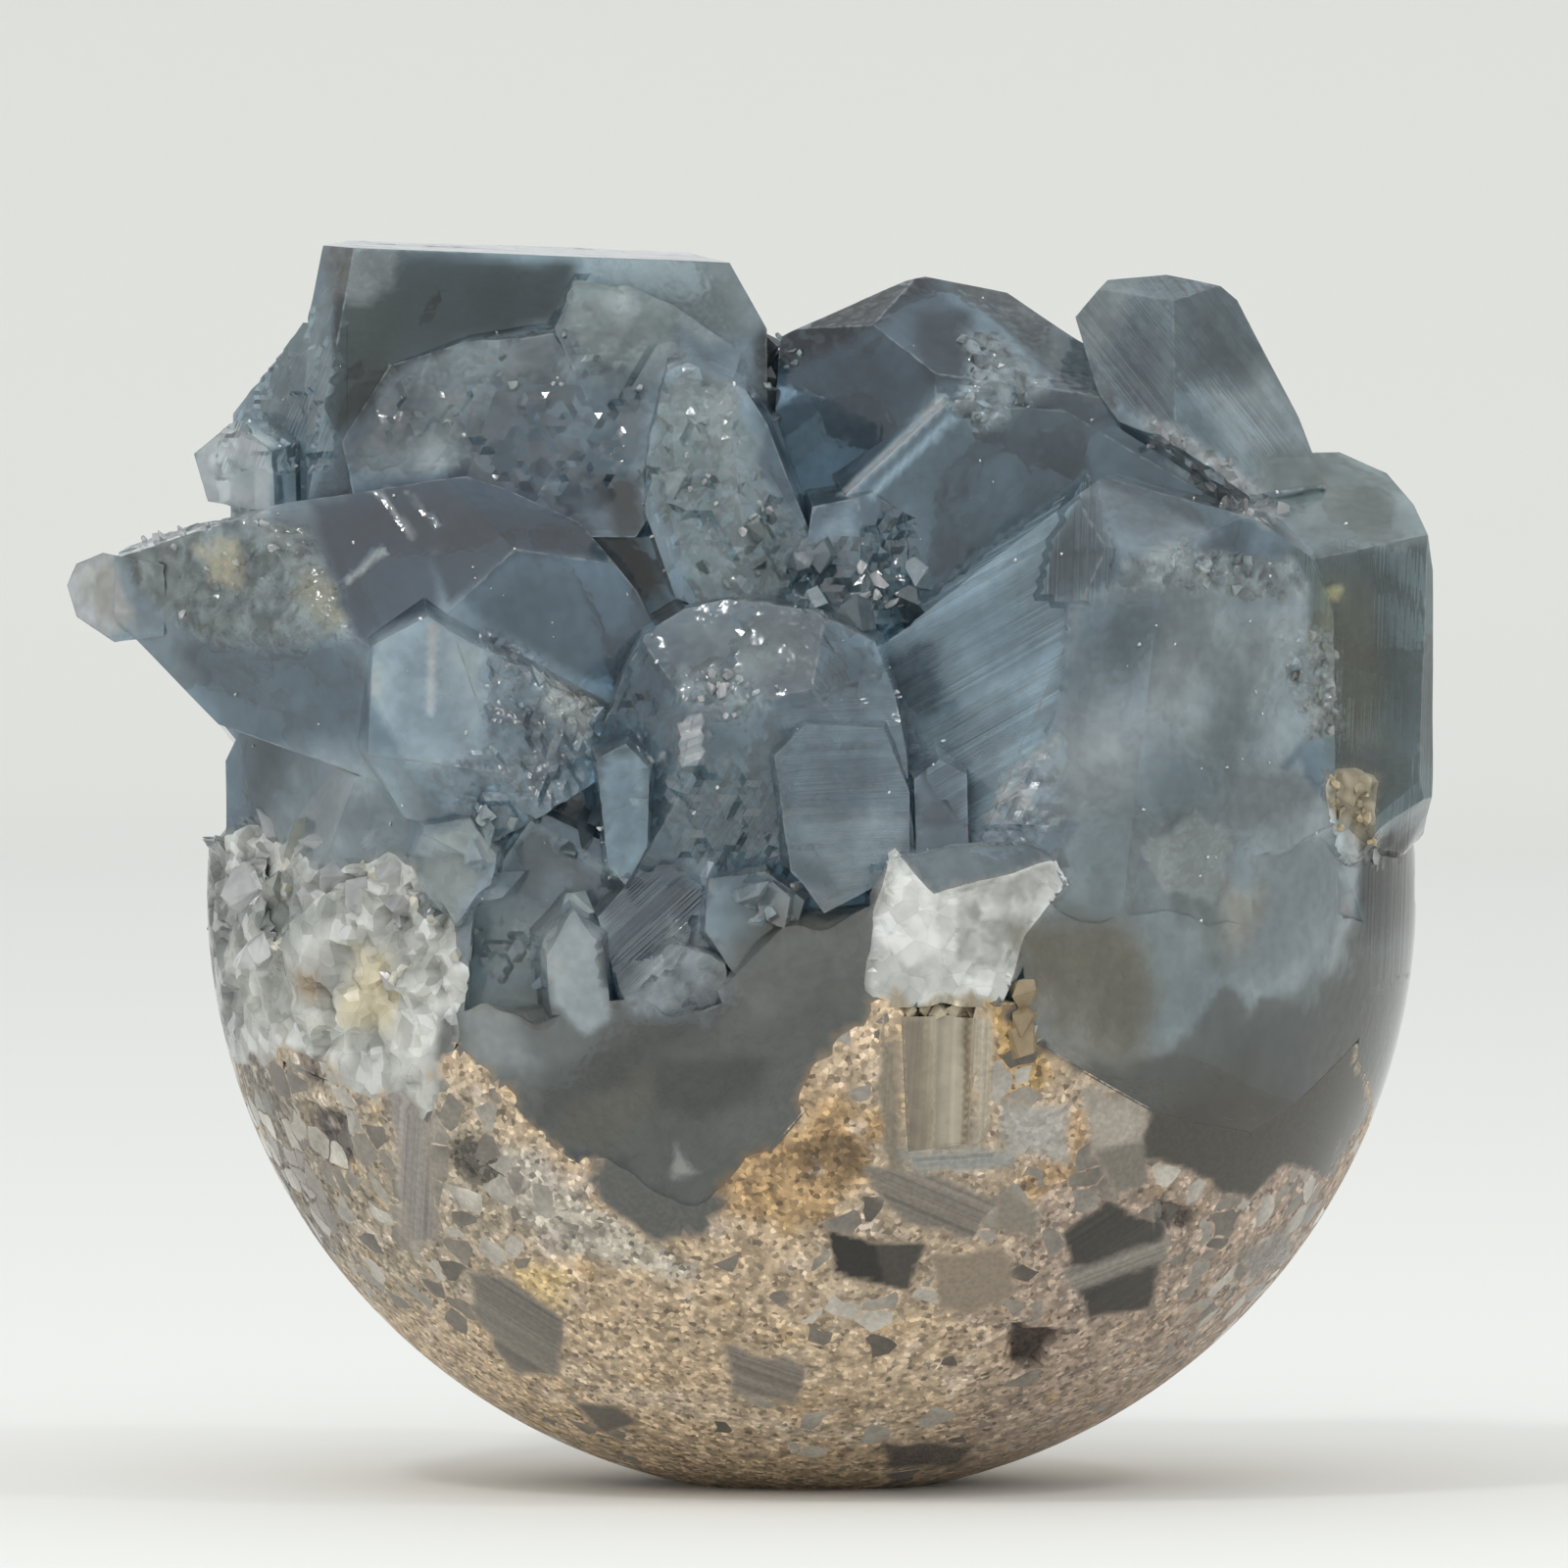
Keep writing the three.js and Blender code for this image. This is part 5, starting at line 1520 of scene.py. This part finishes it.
def celestite_piece(clear, crust, sand, shore_points, shore_fields):
    """The crystals, with their faces dressed and their polished roots on the true bowl."""
    points, triangles = cut_evenly(*plain_faces("celestite"), edge_limit(CRYSTAL_MARKS))
    polished = polished_faces(points, triangles)
    on_bowl = np.zeros(len(points), bool)
    on_bowl[triangles[polished].ravel()] = True
    all_bowl = np.ones(len(points), bool)
    all_bowl[triangles[~polished].ravel()] = False

    beside, from_matrix = nearest_to(points, shore_points)
    ledge = ledge_points(points, triangles, polished) & (from_matrix > 2 * SEAM)
    near = 1 - ramp(nearest_to(points, points[ledge])[1], 0, LEDGE_REACH)
    near *= ramp(-points[:, 1], 0, 6) * ramp(from_matrix, 2 * SEAM, LEDGE_REACH)
    points[:, 2] += near * (1.1 * noise(points, 3.4, 101) + 0.45 * noise(points, 1.3, 102))
    all_bowl |= on_bowl & (from_matrix < 2 * SEAM)
    held = sum(sharp_edges(points, triangles)) > 0
    onto_line(points, triangles, crust_depth(points), held | (points[:, 1] > 0))
    points[all_bowl] = onto_bowl(points[all_bowl])
    normals = corner_normals(points, triangles)

    varied = ramp(clouds(points, TONE_SIZE, 3, 4), -0.5, 0.5)[:, None]
    tone = linear(*DARK_TONE) + varied * (linear(*LIGHT_TONE) - linear(*DARK_TONE))
    tone[on_bowl] = linear(*ROOT_TONE) * (0.9 + 0.3 * varied[on_bowl])
    fields = blank_fields(points, tone)
    edges, crevices = sharp_edges(points, triangles)
    fields["edge"] = edges * ~on_bowl
    crevices = (crevices > 0) & ~on_bowl & (from_matrix > CREVICE_START) & (points[:, 1] > CREVICE_BACK)
    behind = ramp(points[:, 1], -2, 3)
    fields["haze"] = 0.5 * behind * ramp(clouds(points, 6, 21), 0, 0.5)
    fields["rough"] = 0.6 * behind * ramp(clouds(points, 5, 27), 0.1, 0.5)
    fields["relief"] = 0.3 * fields["rough"] * shards(points, 1.5, 31)[0]
    apply_marks(CRYSTAL_MARKS, points, normals, fields)

    cloud = clouds(points, 3.2, 5, 4)
    # Painted highlight near crystal edges and painted shade further in, besides a tone that varies at random.
    inward = ramp(nearest_to(points, points[fields["edge"] > 0])[1], 0, RIM_WIDTH)
    shade = 1 + 0.24 * cloud + (RIM_LIGHT + inward * (RIM_DARK - RIM_LIGHT)) * ~on_bowl
    fields["tone"] = fields["tone"] * shade[:, None]
    milk = 0.3 * fields["haze"] * ramp(cloud, -0.1, 0.6)
    fields["tone"] += milk[:, None] * (linear(*FROST_AND_HIGHLIGHT_COLOUR) - fields["tone"])

    move = fields["relief"] - 0.3 * np.abs(fields["relief"]) + WAVES * noise(points, 4, 51)
    dent = np.minimum(1.6 * fields["relief"] - 0.1, 0) * ramp(fields["crust"], 0.5, 1) * ramp(from_matrix, *DENT_START)
    points += normals * np.where(on_bowl, dent, move)[:, None]
    points = kept_in_box(points)

    reach = SHORE_REACH * ramp(clouds(points, SHORE_GRAIN, 61), -0.2, 0.5) * (1 - fields["bare"])
    open_to_sand = on_bowl & ((points[:, 0] < SHORE_END) | (points[:, 1] > 0))
    covered = np.where(open_to_sand, reach - from_matrix, -SHORE_REACH)
    onto_line(points, triangles, covered, held)
    sandy = covered >= 0
    slots = (fields["crust"][triangles].mean(axis=1) > 0.5).astype(int)
    slots[covered[triangles].mean(axis=1) > 0] = 2
    for name, values in shore_fields.items():
        if name in fields:
            fields[name][sandy] = values[beside[sandy]]
    painted = painted_clear(fields["tone"])
    solid = np.maximum(fields["crust"], sandy)[:, None]
    fields["tone"] = painted + solid * (fields["tone"] - painted)
    points, triangles, slots, fields = with_chips(points, triangles, slots, fields, normals, on_bowl, crevices)
    points = kept_in_box(points)
    return make_mesh("celestite_crystals", points, triangles, [clear, crust, sand], slots, fields)


def chip_shape(random, size):
    """One small broken crystal with flat faces, about size across and longest along its third axis."""
    corners = random.normal(size=(CHIP_CORNERS, 3))
    corners /= np.linalg.norm(corners, axis=1, keepdims=True)
    corners *= size / 2 * np.array([random.uniform(0.55, 0.9), random.uniform(0.7, 1), random.uniform(1, 1.5)])
    mesh = bmesh.new()
    for corner in corners:
        mesh.verts.new(corner)
    mesh.verts.index_update()
    bmesh.ops.convex_hull(mesh, input=mesh.verts)
    triangles = np.array([[v.index for v in face.verts] for face in mesh.faces])
    mesh.free()
    return corners, triangles


def chip_places(group, random, points, normals, on_bowl, crevices):
    """Where the small crystals of a group stand, and which way each of them looks."""
    if "at" in group:
        places = np.array(group["at"])
        return places, np.tile((0.0, -1.0, 0.0), (len(places), 1))
    spots = np.flatnonzero(crevices)
    if "outline" in group:
        strength = mark_strength(points, normals, np.zeros_like(points), group) * ~on_bowl
        spots = np.flatnonzero((strength > 0.3) & (points[:, 1] < MARK_BACK))
    if len(spots):
        spots = random.choice(spots, group["count"])
    return points[spots], normals[spots]


def with_chips(points, triangles, slots, fields, normals, on_bowl, crevices):
    """The mesh with the small crystals of every chip group sunk into its faces, or into crevices."""
    random = np.random.default_rng(CHIP_SEED)
    all_points, all_triangles, all_slots = [points], [triangles], [slots]
    all_fields = {name: [values] for name, values in fields.items()}
    count = len(points)
    for group in CHIPS.values():
        for place, normal in zip(*chip_places(group, random, points, normals, on_bowl, crevices)):
            size = random.uniform(*group["size"])
            corners, faces = chip_shape(random, size)
            lean = Vector(normal + random.normal(scale=CHIP_LEAN, size=3))
            turn = np.array(lean.to_track_quat("Z", "Y").to_matrix())
            corners = corners @ turn.T + place + normal * size * group.get("stand", 0)
            all_points.append(corners)
            all_triangles.append(faces + count)
            count += len(corners)
            all_slots.append(np.full(len(faces), group.get("crust", 0)))
            tone = linear(*group["colour"]) * random.uniform(*CHIP_LIGHT)
            if not group.get("crust"):
                tone = painted_clear(tone)
            blank = blank_fields(corners, np.tile(np.clip(tone, 0, BRIGHTEST), (len(corners), 1)))
            blank["haze"] += group.get("haze", CHIP_HAZE)
            blank["edge"] = np.zeros(len(corners))
            for name, values in all_fields.items():
                values.append(blank[name])
    joined = {name: np.concatenate(values) for name, values in all_fields.items()}
    return np.concatenate(all_points), np.concatenate(all_triangles), np.concatenate(all_slots), joined


def kept_in_box(points):
    """Points held inside the box of the solids."""
    low, high = (np.array(corner) / MM for corner in cad_box)
    return np.clip(points, low, high)


def matrix_piece(sand):
    """The matrix, grown across the seam up to the crystals."""
    points, triangles = cut_evenly(*plain_faces("matrix"), edge_limit(MATRIX_MARKS))
    polished = polished_faces(points, triangles)
    wall = ~polished & (points[triangles][:, :, 2].min(axis=1) > SEAM)
    outward = corner_normals(points, triangles, wall)
    on_wall = np.zeros(len(points), bool)
    on_wall[triangles[wall].ravel()] = True
    on_bowl = np.zeros(len(points), bool)
    on_bowl[triangles[polished].ravel()] = True
    points[on_wall] += GROWN * outward[on_wall]
    all_bowl = on_bowl & (points[:, 2] > SEAM)
    points[all_bowl] = onto_bowl(points[all_bowl])
    normals = corner_normals(points, triangles)

    varied = 0.9 + 0.2 * ramp(clouds(points, 7, 71, 4), -0.5, 0.5)[:, None]
    fields = blank_fields(points, linear(*SAND) * varied)
    fields["bits"] = BIT_SHARE * ramp(clouds(points, 8, 81), -0.3, 0.5)
    pale = ramp(clouds(points, 5, 91), 0.1, 0.6)[:, None]
    fields["tone"] += 0.5 * pale * (linear(*PALE_SAND) - fields["tone"])
    apply_marks(MATRIX_MARKS, points, normals, fields)
    points -= normals * (fields["pit"] * all_bowl)[:, None]
    points = kept_in_box(points)
    slots = np.zeros(len(triangles), int)
    return make_mesh("matrix_sand", points, triangles, [sand], slots, fields), points, fields


# Stage

# The photo's frame is square, 80 mm wide at the front of the piece, and looked at nearly level.
FRAME_WIDTH = 80.0
FRAME_CENTRE = Vector((1.765, -12.0, 36.4))
CAMERA_DISTANCE = 1000.0
CAMERA_RISE = math.radians(1.5)
SENSOR_WIDTH = 36.0
BACKDROP_COLOUR = (232, 232, 228)
FLOOR_REACH = 1.2
BACKDROP_BEND = 0.12
WORLD_COLOUR = (240, 242, 243)
WORLD_STRENGTH = 0.97


def make_camera():
    data = bpy.data.cameras.new("camera")
    data.sensor_width = SENSOR_WIDTH
    data.lens = SENSOR_WIDTH * CAMERA_DISTANCE / FRAME_WIDTH
    data.clip_end = 10
    camera = bpy.data.objects.new("camera", data)
    back = Vector((0, -math.cos(CAMERA_RISE), math.sin(CAMERA_RISE)))
    camera.location = (FRAME_CENTRE + CAMERA_DISTANCE * back) * MM
    camera.rotation_euler = (math.pi / 2 - CAMERA_RISE, 0, 0)
    bpy.context.scene.collection.objects.link(camera)
    bpy.context.scene.camera = camera


def plain_material(name, colour, roughness):
    material, tree, shader, output, places = new_material(name)
    shader.inputs["Base Color"].default_value = rgba(colour)
    shader.inputs["Roughness"].default_value = roughness
    shader.inputs["Specular IOR Level"].default_value = 0.2
    return material


def make_backdrop():
    """A pale floor all round that curves up into a wall a good way off."""
    rings = [0.0, 0.1, 0.3, FLOOR_REACH - BACKDROP_BEND]
    profile = [(reach, 0.0) for reach in rings]
    for i in range(1, 9):
        angle = math.radians(90 * i / 8)
        profile.append((rings[-1] + BACKDROP_BEND * math.sin(angle), BACKDROP_BEND * (1 - math.cos(angle))))
    steps = 64
    corners, faces = [], []
    for reach, height in profile:
        for i in range(steps):
            turn = math.tau * i / steps
            corners.append((reach * math.cos(turn), reach * math.sin(turn), height))
    for ring in range(len(profile) - 1):
        for i in range(steps):
            after = (i + 1) % steps
            faces.append((ring * steps + i, ring * steps + after, (ring + 1) * steps + after, (ring + 1) * steps + i))
    mesh = bpy.data.meshes.new("backdrop")
    mesh.from_pydata(corners, [], faces)
    mesh.polygons.foreach_set("use_smooth", np.ones(len(faces), bool))
    mesh.materials.append(plain_material("backdrop", BACKDROP_COLOUR, 0.9))
    backdrop = bpy.data.objects.new("backdrop", mesh)
    bpy.context.scene.collection.objects.link(backdrop)


def soft_light(name, place, aim, size, watts):
    data = bpy.data.lights.new(name, "AREA")
    data.shape = "DISK"
    data.size = size
    data.energy = watts
    light = bpy.data.objects.new(name, data)
    light.location = place
    light.rotation_euler = (Vector(aim) - Vector(place)).to_track_quat("-Z", "Y").to_euler()
    bpy.context.scene.collection.objects.link(light)


def make_world():
    world = bpy.data.worlds.new("soft_daylight")
    world.use_nodes = True
    background = world.node_tree.nodes["Background"]
    background.inputs["Color"].default_value = rgba(WORLD_COLOUR)
    background.inputs["Strength"].default_value = WORLD_STRENGTH
    bpy.context.scene.world = world


def build():
    sand = sand_material()
    matrix, points, fields = matrix_piece(sand)
    shore = np.abs(bowl_height(points)) < 2 * NEAR_BOWL
    shore_fields = {name: values[shore] for name, values in fields.items()}
    celestite = celestite_piece(crystal_material(), crust_material(), sand, points[shore], shore_fields)
    for piece, node in ((celestite, "celestite"), (matrix, "matrix")):
        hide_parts(node)
        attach(piece, "root")
        print(piece.name, len(piece.data.polygons), "triangles")
    make_camera()
    make_backdrop()
    soft_light("overhead", (-0.2, -0.7, 1.0), (0, 0, 0.03), 1.4, 3.0)
    soft_light("lamp", (-0.35, -0.45, 0.8), (0, 0, 0.04), 0.12, 1.3)
    soft_light("side_lamp", (0.5, -0.3, 0.7), (0, 0, 0.04), 0.1, 0.6)
    make_world()
    bpy.context.scene.view_settings.view_transform = "Standard"


build()
